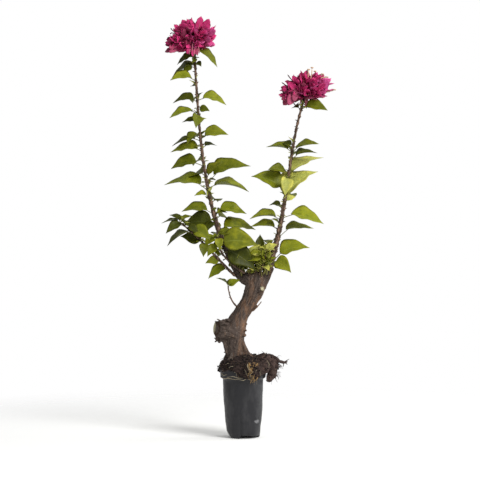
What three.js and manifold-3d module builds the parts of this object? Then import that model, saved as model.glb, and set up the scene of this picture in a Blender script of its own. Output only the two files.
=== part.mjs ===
// A young bougainvillea on an old, cut-back trunk, standing in a slim nursery pot.
// Millimetres, +Z up, +Y towards the back. The origin is the middle of the pot's foot.
//
// Two long shoots rise from the trunk's burl and end in heads of magenta bracts. Each shoot is
// one bough up to its first leaf, and then a run of leafy lengths that stand end to end on it.

import * as THREE from "three";
import { mergeVertices } from "three/addons/utils/BufferGeometryUtils.js";
import Module from "manifold-3d";

const wasm = await Module();
wasm.setup();

// ---------------------------------------------------------------- driving dimensions

const GAP = 0.35; // air between two pieces that touch on the real plant
const DEG = Math.PI / 180;

const POT = {
  height: 142,
  footRadius: 33.4,
  footHeight: 10,
  footRounding: 4.6,
  kneeRadius: 35.9,
  kneeHeight: 30,
  bellyRadius: 38.3,
  bellyHeight: 62,
  mouthRadius: 40.3,
  collarRadius: 47,
  collarHeight: 22,
  collarFlare: 2.6, // how much wider the collar is at its rim than at its step
  collarStep: 3,
  wall: 1.6,
  squareness: 2.4, // 2 is round, more is squarer
  segments: 28,
};
// The front right of the pot's foot is crushed upwards, from a seam at this X to the right.
const DENT = { seam: -6.4, highSide: 6.6, lowSide: 3.6, back: -4 };

const SOIL = { level: 156, crownRise: 24, lump: 0.13 };

const TRUNK = {
  foot: [-10, 0, SOIL.level],
  footPull: [-35.6, 3, 250],
  headPull: [12.3, -2, 242],
  head: [26, 0, 318],
  // share of the way up, and the radius there: the root flare, two waists and the head
  radii: [[0, 24], [0.05, 20.5], [0.14, 19.5], [0.3, 21.5], [0.55, 17.2], [0.72, 16.8], [1, 22]],
  ribs: [0.045, 0.03],
};
const BURL = { centre: [21, 0, 316], size: [29, 21, 19], lump: 0.12 };
// Short stumps on the trunk: where each starts and ends, and its two radii.
const STUMPS = [
  { from: [-12, 0, 206], to: [-55, -5, 219], radii: [19, 14.5] }, // the big sawn limb
  { from: [-28, -4, 199], to: [-54, -6, 196], radii: [5, 3.4] },
  { from: [30, -8, 300], to: [43, -20, 309], radii: [9, 6.5] },
  { from: [18, -2, 258], to: [31, -6, 270], radii: [3, 2] },
  { from: [30.6, -6, 269], to: [38, -7, 282], radii: [2, 1.4] },
];

const LEFT_SHOOT = {
  curve: [[0, 2, 314], [-82, 8, 432], [-88, 12, 615], [-98, 6, 800]],
  footRadius: 9.5,
  tipRadius: 2.8,
  thinning: 2.6,
};
const RIGHT_SHOOT = {
  curve: [[36, -2, 300], [93, -8, 424], [80, -14, 560], [124, -10, 682]],
  footRadius: 9.5,
  tipRadius: 2.6,
  thinning: 2.6,
};
const SIDE_BRANCH = {
  curve: [[-12, -8, 318], [-50, -20, 356], [-84, -22, 396], [-127, -22, 434]],
  footRadius: 3.2,
  tipRadius: 1.6,
  thinning: 1,
};
const CENTRE_SPROUT = {
  curve: [[6, -12, 326], [-20, -26, 344], [-54, -27, 366], [-50, -24, 402]],
  footRadius: 2.8,
  tipRadius: 1.6,
  thinning: 1,
};
const YOUNG_SPROUT = {
  curve: [[32, -14, 322], [38, -22, 340], [46, -24, 362], [45, -22, 384]],
  footRadius: 2.8,
  tipRadius: 1.5,
  thinning: 1,
};
const LOW_TWIG = {
  curve: [[-4, -6, 256], [-24, -12, 268], [-26, -16, 286], [-30, -16, 302]],
  footRadius: 2,
  tipRadius: 1.2,
  thinning: 1,
};

// The heights at which each shoot is parted into its bough, its leafy lengths and its head.
const LEFT_BREAKS = { bough: 382, low: 494, middle: 590, high: 752, head: 798 };
const RIGHT_BREAKS = { bough: 334, low: 473, high: 640, head: 681 };

// Leaf tiers on a shoot: the height of the blades' feet, then for each side of the shoot the
// blade's length, its rise in degrees and, where it turns its face to the front, its roll.
const LEFT_LOW_TIERS = [
  { at: 394, left: [31, 0, 8], back: [44, -16] },
  { at: 404, right: [44, -20], back: [50, -6] },
  { at: 420, left: [60, -3, 72], right: [64, -5, 10] },
  { at: 440, back: [52, -14] },
  { at: 456, left: [50, -4], right: [53, -9] },
  { at: 474, right: [24, 14], back: [46, -10] },
  { at: 488, front: [26, -20] },
];
const LEFT_MIDDLE_TIERS = [
  { at: 511, left: [70, -5], right: [72, -14] },
  { at: 527, front: [38, 20], back: [54, -12] },
  { at: 536, right: [74, 6] },
  { at: 553, left: [54, -17], back: [48, -8] },
  { at: 581, left: [58, -10], right: [20, 8] },
];
const LEFT_HIGH_TIERS = [
  { at: 601, left: [50, -16], back: [46, -12] },
  { at: 610, right: [46, -2], front: [28, -40] },
  { at: 634, left: [36, -10], front: [26, -30], back: [34, 0] },
  { at: 655, left: [46, -16], right: [22, 20] },
  { at: 678, left: [42, -9], right: [53, -13], back: [36, -14] },
  { at: 702, back: [28, -20] },
  { at: 722, left: [40, -9] },
  { at: 747, left: [46, -23], back: [40, -20] },
];
const LEFT_HEAD_TIERS = [
  { at: 764, left: [36, -14], right: [24, -20] },
  { at: 776, right: [50, -37] },
];
const RIGHT_LOW_TIERS = [
  { at: 346, right: [44, -26, 74], back: [44, -14] },
  { at: 372, right: [58, 4] },
  { at: 390, back: [52, -10] },
  { at: 420, left: [46, 0], right: [60, 1] },
  { at: 447, left: [54, -10], right: [70, -17, 16] },
  { at: 462, back: [42, -12] },
];
const RIGHT_HIGH_TIERS = [
  { at: 482, left: [20, -10], right: [24, -12], back: [40, -10] },
  { at: 505, right: [66, 30] },
  { at: 520, left: [66, 3], front: [44, -64], back: [44, -8] },
  { at: 540, left: [34, 6], right: [66, 21] },
  { at: 568, right: [44, 5], back: [36, -6] },
  { at: 584, left: [46, 0], right: [46, 5] },
];
const RIGHT_HEAD_TIERS = [
  { at: 655, back: [34, -20] },
  { at: 670, right: [50, -18], left: [18, 10] },
];

// Leaves of the looser sprays: share of the way along the stem, bearing and rise in degrees,
// how far the blade is turned to face the front, and its length.
const SIDE_LEAVES = [
  { along: 0.08, bearing: 184, rise: -26, roll: 44, length: 38 },
  { along: 0.3, bearing: 184, rise: -10, roll: 66, length: 30 },
  { along: 0.34, bearing: 150, rise: 50, roll: 30, length: 18 },
  { along: 0.4, bearing: 80, rise: -12, roll: 30, length: 42 },
  { along: 0.58, bearing: -104, rise: -62, roll: 14, length: 32 },
  { along: 0.6, bearing: 172, rise: 10, roll: 68, length: 44 },
  { along: 0.7, bearing: 118, rise: -16, roll: 20, length: 36 },
  { along: 0.78, bearing: 182, rise: -37, roll: 40, length: 50 },
  { along: 0.9, bearing: -24, rise: -40, roll: 50, length: 28 },
  { along: 0.95, bearing: 196, rise: -36, roll: 30, length: 38 },
  { along: 0.97, bearing: 176, rise: -10, roll: 4, length: 40 },
  { along: 0.99, bearing: 156, rise: 30, roll: 30, length: 24 },
  { along: 0.99, bearing: 16, rise: 20, roll: 24, length: 26 },
  { along: 0.94, bearing: 86, rise: 6, roll: 10, length: 32 },
];
const CENTRE_LEAVES = [
  { along: 0.14, bearing: 30, rise: 62, roll: 40, length: 34 },
  { along: 0.36, bearing: 10, rise: 44, roll: 60, length: 32 },
  { along: 0.72, bearing: -14, rise: -36, roll: 84, length: 70 },
  { along: 0.78, bearing: 196, rise: -48, roll: 60, length: 30 },
  { along: 0.86, bearing: -8, rise: -8, roll: 66, length: 56 },
  { along: 0.93, bearing: -70, rise: -62, roll: 10, length: 28 },
  { along: 0.97, bearing: 190, rise: -46, roll: 60, length: 30 },
  { along: 0.98, bearing: 8, rise: 10, roll: 40, length: 34 },
];
const YOUNG_LEAVES = [
  { along: 0.2, bearing: 196, rise: 40, roll: 40, length: 26 },
  { along: 0.3, bearing: -60, rise: -20, roll: 10, length: 24 },
  { along: 0.42, bearing: 170, rise: 58, roll: 40, length: 34 },
  { along: 0.56, bearing: 96, rise: 30, roll: 10, length: 30 },
  { along: 0.8, bearing: 178, rise: -22, roll: 76, length: 42 },
  { along: 0.84, bearing: 176, rise: 78, roll: 66, length: 30 },
  { along: 0.92, bearing: 30, rise: 40, roll: 30, length: 24 },
  { along: 0.97, bearing: -30, rise: 10, roll: 30, length: 22 },
];
const LOW_TWIG_LEAVES = [
  { along: 0.72, bearing: -12, rise: 34, roll: 70, length: 26 },
  { along: 0.97, bearing: 184, rise: 24, roll: 6, length: 26 },
];

// How a leaf grows from its node.
const LEAF = {
  widthShare: 0.74,
  thicknessShare: 0.018,
  leastThickness: 0.9,
  petioleShare: [0.2, 0.28],
  petioleRise: 44,
  petioleRadius: 0.9,
  bearingSpread: 60,
  riseSpread: 8,
  roll: [0, 14],
  fold: [14, 28],
  curl: [10, 20],
};

// The flower heads: where their bracts fan out from, their middle and half sizes, and their lean.
const LEFT_HEAD = {
  heart: [-98, 6, 788],
  centre: [-99, 6, 801],
  size: [51, 45, 42],
  lean: -12,
  triads: 11,
  seed: 41,
};
const RIGHT_HEAD = {
  heart: [125, -10, 681],
  centre: [127, -10, 695],
  size: [54, 46, 40],
  lean: -14,
  triads: 11,
  seed: 57,
};
const BRACT = {
  widthShare: 0.72,
  thickness: 1,
  footShare: 0.46, // where the bracts' feet are between the heart and the head's outside
  spread: [16, 36], // how far a bract leans from its triad's axis, in degrees
  lengthSpread: [0.88, 1.1],
  turnSpread: 30,
  reach: 1.12,
  skirt: 0.9, // how far down the head's sides the triads go, 1 being all the way
  cup: 10,
  fold: 18,
  core: 0.52,
};
const GOLDEN_ANGLE = 137.508;

// Roots that hang over the collar: bearing in degrees, drop below the rim, and radius.
const HANGING_ROOTS = [
  { bearing: -74, drop: 32, radius: 1.9 },
  { bearing: -64, drop: 24, radius: 1.6 },
  { bearing: -96, drop: 20, radius: 1.5 },
];
const ROOT_CLUMPS = [
  { centre: [38, -6, 155], size: [22, 20, 13], detail: 2 },
  { centre: [58, -7, 148], size: [15, 15, 17], detail: 1 },
  { centre: [62, -9, 130], size: [10, 10, 15], detail: 1 },
  { centre: [52, -12, 121], size: [8, 7, 8], detail: 1 },
  { centre: [-12, -38, 144], size: [18, 10, 9], detail: 1 },
  { centre: [14, -40, 138], size: [27, 11, 18], detail: 2 },
  { centre: [38, -26, 142], size: [14, 15, 13], detail: 1 },
];
// Broken roots that stick out of the spilled soil, over a fan of bearings and rises.
const ROOT_ENDS = {
  from: [56, -8, 142],
  count: 11,
  bearing: [-100, 40],
  rise: [-80, 50],
  length: [20, 34],
  radius: 1.5,
  seed: 5,
};
const BROKEN_ROOT = {
  curve: [[50, -6, 158], [62, -8, 172], [74, -9, 158], [90, -10, 153]],
  radii: [4.6, 1.8],
};

// ---------------------------------------------------------------- drawing lots and directions

// A seeded run of numbers from 0 to 1.
function seeded(seed) {
  let state = seed;
  return () => {
    state = (state * 1664525 + 1013904223) % 4294967296;
    return state / 4294967296;
  };
}

const between = ([low, high], share) => low + (high - low) * share;

// The unit vector at a bearing from +X and a rise above the level, both in degrees.
function heading(bearing, rise) {
  const level = Math.cos(rise * DEG);
  return new THREE.Vector3(
    Math.cos(bearing * DEG) * level,
    Math.sin(bearing * DEG) * level,
    Math.sin(rise * DEG),
  );
}

const vector = ([x, y, z]) => new THREE.Vector3(x, y, z);
const stepFrom = (point, direction, distance) => point.clone().addScaledVector(direction, distance);

// A gentle lumpiness from -1 to 1 that varies over about the given length.
function lumpiness(point, length) {
  const [x, y, z] = [point.x / length, point.y / length, point.z / length];
  const coarse = Math.sin(2.1 * x + 1.3) * Math.sin(2.3 * y + 0.7) * Math.sin(1.9 * z + 2.1);
  const fine = Math.sin(5.3 * x + 0.4) * Math.sin(4.7 * y + 2.9) * Math.sin(5.9 * z + 1.1);
  return 0.65 * coarse + 0.35 * fine;
}

// ---------------------------------------------------------------- geometry to solids and back

function bare(geometry) {
  const copy = geometry.clone();
  copy.deleteAttribute("normal");
  copy.deleteAttribute("uv");
  return mergeVertices(copy, 1e-4);
}

function solidOf(geometry) {
  const merged = bare(geometry);
  return new wasm.Manifold(
    new wasm.Mesh({
      numProp: 3,
      vertProperties: merged.attributes.position.array,
      triVerts: new Uint32Array(merged.index.array),
    }),
  );
}

function geometryOf(solid) {
  const mesh = solid.getMesh();
  const positions = new Float32Array(mesh.numVert * 3);
  for (let i = 0; i < mesh.numVert; i += 1) {
    positions.set(mesh.vertProperties.subarray(i * mesh.numProp, i * mesh.numProp + 3), i * 3);
  }
  const geometry = new THREE.BufferGeometry();
  geometry.setAttribute("position", new THREE.BufferAttribute(positions, 3));
  geometry.setIndex(new THREE.BufferAttribute(mesh.triVerts, 1));
  geometry.computeVertexNormals();
  return geometry;
}

const joined = (solids) => solids.reduce((whole, solid) => whole.add(solid));
const largest = (solid) => solid.decompose().reduce((a, b) => (a.volume() > b.volume() ? a : b));

// Bends a bare tube or spindle, which lies along Y, along a curve. The section gives each
// corner's place across and up from the share of the way and the corner's bearing round the tube.
function bend(form, shareOf, { curve, from = 0, to = 1, up, section, pace = 1 }) {
  const position = form.attributes.position;
  for (let i = 0; i < position.count; i += 1) {
    const [x, y, z] = [position.getX(i), position.getY(i), position.getZ(i)];
    const share = shareOf(y) ** pace;
    const along = from + (to - from) * share;
    const around = Math.hypot(x, z) > 1e-6 ? Math.atan2(x, z) : null;
    const tangent = curve.getTangent(along);
    const across = new THREE.Vector3().crossVectors(tangent, up).normalize();
    const lift = new THREE.Vector3().crossVectors(across, tangent);
    const [side, height] = around === null ? [0, 0] : section(share, around);
    const place = curve.getPoint(along).addScaledVector(across, side).addScaledVector(lift, height);
    position.setXYZ(i, place.x, place.y, place.z);
  }
  return solidOf(form);
}

// A tube with flat ends.
function sweep({ sides, steps, ...path }) {
  return bend(bare(new THREE.CylinderGeometry(1, 1, 1, sides, steps)), (y) => y + 0.5, path);
}

// A spindle that comes to a point at both ends.
function spindle({ sides, steps, ...path }) {
  return bend(bare(new THREE.SphereGeometry(1, sides, steps)), (y) => Math.acos(-y) / Math.PI, path);
}

const FRONT = new THREE.Vector3(0, -1, 0);
const bezier = (points) => new THREE.CubicBezierCurve3(...points.map(vector));

// A round limb whose radius follows a rule along its length.
function limb(curve, radiusAt, { from = 0, to = 1, sides = 10, steps = 10, up = FRONT } = {}) {
  const section = (share, around) => {
    const radius = radiusAt(from + (to - from) * share);
    return [Math.sin(around) * radius, Math.cos(around) * radius];
  };
  return sweep({ curve, from, to, sides, steps, up, section });
}

// The radius between the stops of a list of [share, radius].
function alongStops(stops, share) {
  const next = Math.max(1, stops.findIndex(([place]) => place >= share));
  const [[start, first], [end, last]] = [stops[next - 1], stops[next]];
  return THREE.MathUtils.lerp(first, last, THREE.MathUtils.smoothstep(share, start, end));
}

function lumpyBall(centre, size, detail, lump) {
  const ball = bare(new THREE.IcosahedronGeometry(1, detail));
  const position = ball.attributes.position;
  for (let i = 0; i < position.count; i += 1) {
    const point = new THREE.Vector3().fromBufferAttribute(position, i).multiply(vector(size));
    point.add(vector(centre));
    const swell = 1 + lump * lumpiness(point, 14);
    point.sub(vector(centre)).multiplyScalar(swell).add(vector(centre));
    position.setXYZ(i, point.x, point.y, point.z);
  }
  return solidOf(ball);
}

// ---------------------------------------------------------------- pot

// How far a slightly squared section stands out at an angle, as a share of its half width.
function squaring(angle) {
  const power = POT.squareness;
  return (Math.abs(Math.cos(angle)) ** power + Math.abs(Math.sin(angle)) ** power) ** (-1 / power);
}

// A turned body from a profile of [radius, height], squared like the pot.
function turned(profile) {
  const points = profile.map(([radius, height]) => new THREE.Vector2(radius, height));
  const body = bare(new THREE.LatheGeometry(points, POT.segments)).rotateX(Math.PI / 2);
  const position = body.attributes.position;
  for (let i = 0; i < position.count; i += 1) {
    const [x, y] = [position.getX(i), position.getY(i)];
    const share = squaring(Math.atan2(y, x));
    position.setXYZ(i, x * share, y * share, position.getZ(i));
  }
  return solidOf(body);
}

// The pot's outer profile from the foot up, grown outwards by a clearance.
function potOutline(grow = 0) {
  const { height, footRadius, footHeight, footRounding, collarRadius, collarFlare } = POT;
  const shoulder = height - POT.collarHeight;
  return [
    [footRadius - footRounding + grow, 0],
    [footRadius - 0.4 * footRounding + grow, 0.35 * footHeight],
    [footRadius + grow, footHeight],
    [POT.kneeRadius + grow, POT.kneeHeight],
    [POT.bellyRadius + grow, POT.bellyHeight],
    [POT.mouthRadius + grow, shoulder - POT.collarStep],
    [collarRadius - collarFlare + grow, shoulder - grow],
    [collarRadius + grow, height + grow],
  ];
}

// The profile of the pot's inside, from its floor up to the rim, shrunk by a clearance.
function potInside(shrink = 0) {
  const { height, footRadius, footHeight, footRounding, collarRadius, collarFlare } = POT;
  const wall = POT.wall + shrink;
  const shoulder = height - POT.collarHeight;
  return [
    [0, wall],
    [footRadius - footRounding - wall, wall],
    [footRadius - wall, footHeight],
    [POT.kneeRadius - wall, POT.kneeHeight],
    [POT.bellyRadius - wall, POT.bellyHeight],
    [POT.mouthRadius - wall, shoulder - POT.collarStep + wall],
    [collarRadius - collarFlare - wall, shoulder + wall],
    [collarRadius - wall, height],
  ];
}

// The space under the crushed corner of the foot, grown by a clearance.
function dent(grow = 0) {
  const far = 2 * POT.collarRadius;
  const below = new THREE.Shape([
    new THREE.Vector2(DENT.seam - grow, -1),
    new THREE.Vector2(far, -1),
    new THREE.Vector2(far, DENT.lowSide + grow),
    new THREE.Vector2(DENT.seam - grow, DENT.highSide + grow),
  ]);
  const space = new THREE.ExtrudeGeometry(below, { depth: far, bevelEnabled: false });
  return solidOf(space.rotateX(Math.PI / 2).translate(0, DENT.back + grow, 0));
}

function pot() {
  const above = POT.height + 1;
  const body = turned([[0, 0], ...potOutline(), [0, POT.height]]);
  const inside = turned([...potInside(), [POT.collarRadius - POT.wall, above], [0, above]]);
  return body.subtract(dent()).subtract(inside.subtract(dent(POT.wall)));
}

// ---------------------------------------------------------------- trunk

// The trunk with its burl and stumps, all of it grown outwards by a clearance.
function trunk(grow = 0) {
  const { foot, footPull, headPull, head, radii, ribs } = TRUNK;
  const section = (share, around) => {
    const rib = ribs[0] * Math.sin(3 * around + 4 * share) + ribs[1] * Math.sin(5 * around - 7 * share);
    const radius = alongStops(radii, share) * (1 + rib) + grow;
    return [Math.sin(around) * radius, Math.cos(around) * radius];
  };
  const curve = bezier([foot, footPull, headPull, head]);
  const shaft = sweep({ curve, sides: 14, steps: 15, up: FRONT, section });
  const burl = lumpyBall(BURL.centre, BURL.size.map((size) => size + grow), 2, BURL.lump);
  const stumps = STUMPS.map((stump) => {
    const axis = new THREE.LineCurve3(vector(stump.from), vector(stump.to));
    const radiusAt = (share) => between(stump.radii, share) + grow;
    return limb(axis, radiusAt, { sides: 9, steps: 2 });
  });
  return joined([shaft, burl, ...stumps]);
}

// A slab that fills everything from the trunk's foot to well below it.
function ground(depth, radius) {
  const slab = new THREE.CylinderGeometry(radius, radius, depth, 18).rotateX(Math.PI / 2);
  return solidOf(slab.translate(TRUNK.foot[0], TRUNK.foot[1], SOIL.level - depth / 2));
}

// ---------------------------------------------------------------- root ball

function rootBall(trunkSpace) {
  const { height, collarRadius, wall } = POT;
  const rim = collarRadius - 1;
  const brim = [[rim - wall - 3, height + 6], [0, height + 6]];
  const plug = turned([...potInside(GAP), ...brim]).subtract(dent(wall + GAP));
  const crown = lumpyBall([0, 0, height + 1], [rim, rim - 1, SOIL.crownRise], 3, SOIL.lump);
  const clumps = ROOT_CLUMPS.map(({ centre, size, detail }) =>
    lumpyBall(centre, size, detail, 1.6 * SOIL.lump),
  );
  const hanging = HANGING_ROOTS.map(({ bearing, drop, radius }) => {
    const outside = (collarRadius + GAP + radius + 0.4) * squaring(bearing * DEG);
    const out = heading(bearing, 0);
    const over = (reach, level) => stepFrom(new THREE.Vector3(0, 0, level), out, reach);
    const curve = new THREE.CatmullRomCurve3([
      over(outside - 16, height + 8),
      over(outside, height + 3),
      over(outside, height - drop / 2),
      over(outside + 1, height - drop),
    ]);
    const up = heading(bearing + 90, 0);
    return limb(curve, (share) => radius * (1.1 - 0.5 * share), { sides: 4, steps: 5, up });
  });
  const broken = limb(bezier(BROKEN_ROOT.curve), (share) => between(BROKEN_ROOT.radii, share), {
    sides: 6,
    steps: 5,
  });
  const draw = seeded(ROOT_ENDS.seed);
  const ends = Array.from({ length: ROOT_ENDS.count }, () => {
    const [bearing, rise] = [between(ROOT_ENDS.bearing, draw()), between(ROOT_ENDS.rise, draw())];
    const root = vector(ROOT_ENDS.from);
    const tip = stepFrom(root, heading(bearing, rise), between(ROOT_ENDS.length, draw()));
    const bow = root.clone().lerp(tip, 0.6).add(new THREE.Vector3(0, 0, 4 * (draw() - 0.3)));
    const taper = (share, around) => [
      Math.sin(around) * ROOT_ENDS.radius * (1.3 - share),
      Math.cos(around) * ROOT_ENDS.radius * (1.3 - share),
    ];
    const curve = new THREE.QuadraticBezierCurve3(root, bow, tip);
    return spindle({ curve, sides: 3, steps: 3, up: heading(bearing + 90, 0), section: taper });
  });
  const potSpace = turned([[0, 0], ...potOutline(GAP), [0, height + GAP]]);
  const above = joined([crown, ...clumps, ...hanging, ...ends, broken]).subtract(potSpace);
  return largest(above.add(plug).subtract(trunkSpace));
}

// ---------------------------------------------------------------- stems and leaves

const stemRadius = (stem) => (along) =>
  stem.tipRadius + (stem.footRadius - stem.tipRadius) * (1 - along) ** stem.thinning;

// The share of the way along a rising curve at which it reaches a height.
function shareAtHeight(curve, height) {
  let [low, high] = [0, 1];
  for (let i = 0; i < 30; i += 1) {
    const middle = (low + high) / 2;
    if (curve.getPoint(middle).z < height) low = middle;
    else high = middle;
  }
  return low;
}

// A leaf's habit. Six lots are drawn for each, whatever its place.
function leafHabit({ bearing, rise, roll, length }, loose, draw) {
  const turn = (draw() - 0.5) * LEAF.bearingSpread * loose;
  const fullLength = length / Math.cos(turn * DEG);
  const tilt = (draw() - 0.5) * LEAF.riseSpread * loose;
  const rollLot = draw();
  const fold = between(LEAF.fold, draw());
  const petiole = between(LEAF.petioleShare, draw()) * length * (0.4 + 0.6 * loose);
  const curl = between(LEAF.curl, draw());
  return {
    length: fullLength,
    fold,
    petiole,
    curl,
    bearing: bearing + turn,
    rise: rise + tilt,
    roll: roll ?? between(LEAF.roll, rollLot),
    petioleRise: Math.max(rise, -20) + LEAF.petioleRise,
  };
}

// The leaves of one leafy length of a shoot, tier by tier.
function tierLeaves(shoot, tiers, seed) {
  const curve = bezier(shoot.curve);
  const draw = seeded(seed);
  const bearings = { left: 180, right: 0, front: -90, back: 90 };
  const leaves = [];
  for (const { at, ...sides } of tiers) {
    for (const [side, [length, rise, roll]] of Object.entries(sides)) {
      const habit = leafHabit({ bearing: bearings[side], rise, roll, length }, 1, draw);
      const climb = habit.petiole * Math.sin(habit.petioleRise * DEG);
      const along = shareAtHeight(curve, at - climb);
      leaves.push({ node: curve.getPoint(along), thickness: stemRadius(shoot)(along), ...habit });
    }
  }
  return leaves;
}

function sprayLeaves(stem, rows, seed) {
  const curve = bezier(stem.curve);
  const draw = seeded(seed);
  return rows.map(({ along, ...row }) => ({
    node: curve.getPoint(along),
    thickness: stemRadius(stem)(along),
    ...leafHabit(row, 0.3, draw),
  }));
}

// Half the blade's width along it, from a round foot to a long drawn-out tip.
const bladeOutline = (share) => Math.sin(Math.PI * share ** 0.6) ** 1.25;
const bractOutline = (share) => Math.sin(Math.PI * share ** 0.72) ** 0.9;

// A thin keeled blade with sharp margins, thickest along its midrib.
function blade({ curve, up, width, fold, thickness, outline, steps, pace }) {
  const section = (share, around) => {
    const half = 0.5 * width * outline(share);
    const across = Math.sin(around) * half;
    const keel = Math.sin(fold * DEG) * Math.abs(across);
    return [across * Math.cos(fold * DEG), keel + 0.5 * Math.cos(around) * thickness];
  };
  return spindle({ curve, sides: 4, steps, up, section, pace });
}

// The leaf's petiole and blade, both grown thicker by a clearance.
function leafSolids(leaf, grow = 0) {
  const { node, thickness, length, petiole, petioleRise, fold, curl, bearing, rise, roll } = leaf;
  const foot = stepFrom(node, heading(bearing, petioleRise), thickness + petiole);
  const knee = stepFrom(foot, heading(bearing, rise + curl), length / 2);
  const tip = stepFrom(knee, heading(bearing, rise - curl), length / 2);
  const side = heading(bearing - 90, 0);
  const towardsFront = side.y <= 0 ? 1 : -1;
  const up = heading(bearing, rise + 90)
    .multiplyScalar(Math.cos(roll * DEG))
    .addScaledVector(side, towardsFront * Math.sin(roll * DEG));
  const face = blade({
    curve: new THREE.QuadraticBezierCurve3(foot, knee, tip),
    up,
    width: LEAF.widthShare * length,
    fold,
    thickness: Math.max(LEAF.leastThickness, LEAF.thicknessShare * length) + 2 * grow,
    outline: bladeOutline,
    steps: length > 30 ? 5 : 4,
    pace: 1.25,
  });
  const elbow = stepFrom(node, heading(bearing, petioleRise), thickness + petiole * 0.45);
  const sunk = stepFrom(foot, heading(bearing, rise + curl), 0.16 * length);
  const radius = LEAF.petioleRadius + grow;
  const section = (share, around) => [Math.sin(around) * radius, Math.cos(around) * radius];
  const stalk = new THREE.QuadraticBezierCurve3(node, elbow, sunk);
  return [face, spindle({ curve: stalk, sides: 3, steps: 3, up, section })];
}

// ---------------------------------------------------------------- flower heads

// The bracts of a head. They fan out from its heart in threes, spread by the golden angle.
function headBracts({ heart, centre, size, lean, triads, seed }) {
  const draw = seeded(seed);
  const bracts = [];
  for (let i = 0; i < triads; i += 1) {
    const height = 1 - ((1 + BRACT.skirt) * (i + 0.4)) / triads;
    const outside = heading(i * GOLDEN_ANGLE, Math.asin(height) / DEG).multiply(vector(size));
    outside.applyAxisAngle(new THREE.Vector3(0, 1, 0), lean * DEG);
    const ray = outside.add(vector(centre)).sub(vector(heart));
    const foot = stepFrom(vector(heart), ray, BRACT.footShare);
    const reach = (1 - BRACT.footShare) * ray.length() * BRACT.reach;
    const axis = ray.clone().normalize();
    const side = heading(i * GOLDEN_ANGLE + 90, 0);
    const cross = new THREE.Vector3().crossVectors(axis, side).normalize();
    const start = draw() * 120;
    for (let k = 0; k < 3; k += 1) {
      const around = (start + k * 120 + (draw() - 0.5) * BRACT.turnSpread) * DEG;
      const outward = stepFrom(side.clone().multiplyScalar(Math.cos(around)), cross, Math.sin(around));
      const spread = between(BRACT.spread, draw());
      const length = reach * between(BRACT.lengthSpread, draw());
      bracts.push({ foot, axis, outward, spread, length });
    }
  }
  return bracts;
}

function bractSolid({ foot, axis, outward, spread, length }) {
  const leaning = (angle) =>
    stepFrom(axis.clone().multiplyScalar(Math.cos(angle * DEG)), outward, Math.sin(angle * DEG));
  const knee = stepFrom(foot, leaning(spread + BRACT.cup), length / 2);
  const tip = stepFrom(knee, leaning(spread - BRACT.cup), length / 2);
  return blade({
    curve: new THREE.QuadraticBezierCurve3(foot, knee, tip),
    up: leaning(spread - 90),
    width: BRACT.widthShare * length,
    fold: BRACT.fold,
    thickness: BRACT.thickness,
    outline: bractOutline,
    steps: 3,
    pace: 1,
  });
}

function headSolids(head) {
  const middle = vector(head.heart).lerp(vector(head.centre), 0.5).toArray();
  const core = lumpyBall(middle, head.size.map((size) => BRACT.core * size), 1, 0);
  return [core, ...headBracts(head).map(bractSolid)];
}

// ---------------------------------------------------------------- the plant

const MATERIALS = {
  pot: new THREE.MeshStandardMaterial({ color: 0x3a3b3f, roughness: 0.5, metalness: 0 }),
  soil: new THREE.MeshStandardMaterial({ color: 0x2b211b, roughness: 0.95, metalness: 0 }),
  bark: new THREE.MeshStandardMaterial({ color: 0x6b5444, roughness: 0.85, metalness: 0 }),
  leaf: new THREE.MeshStandardMaterial({ color: 0x6d8c2a, roughness: 0.5, metalness: 0 }),
  bract: new THREE.MeshStandardMaterial({ color: 0xb01468, roughness: 0.6, metalness: 0 }),
};

// A stem from one share of its curve to another, kept clear of what it grows from.
function stemSolid(stem, from, to, sides, steps, clearOf = []) {
  const whole = limb(bezier(stem.curve), stemRadius(stem), { from, to, sides, steps });
  return largest(clearOf.reduce((solid, other) => solid.subtract(other), whole));
}

// A length of a shoot between two heights, half a clearance short at each end.
function shootLength(shoot, low, high, sides, steps) {
  const curve = bezier(shoot.curve);
  const from = shareAtHeight(curve, low + GAP / 2);
  const to = shareAtHeight(curve, high - GAP / 2);
  return stemSolid(shoot, from, to, sides, steps);
}

const shaft = largest(trunk().subtract(ground(60, 100)));
const trunkSpace = trunk(GAP).add(ground(GAP, TRUNK.radii[0][1] + 1));

function bough(shoot, top, clearOf) {
  const curve = bezier(shoot.curve);
  return stemSolid(shoot, 0, shareAtHeight(curve, top - GAP / 2), 10, 7, clearOf);
}

const boughSpace = (shoot) =>
  limb(bezier(shoot.curve), (along) => stemRadius(shoot)(along) + GAP, { to: 0.3, steps: 7 });

const solids = new Map([
  ["pot", [pot(), MATERIALS.pot]],
  ["root_ball", [rootBall(trunkSpace), MATERIALS.soil]],
  ["trunk", [shaft, MATERIALS.bark]],
  ["left_bough", [bough(LEFT_SHOOT, LEFT_BREAKS.bough, [trunkSpace]), MATERIALS.bark]],
  ["right_bough", [bough(RIGHT_SHOOT, RIGHT_BREAKS.bough, [trunkSpace]), MATERIALS.bark]],
]);

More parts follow.
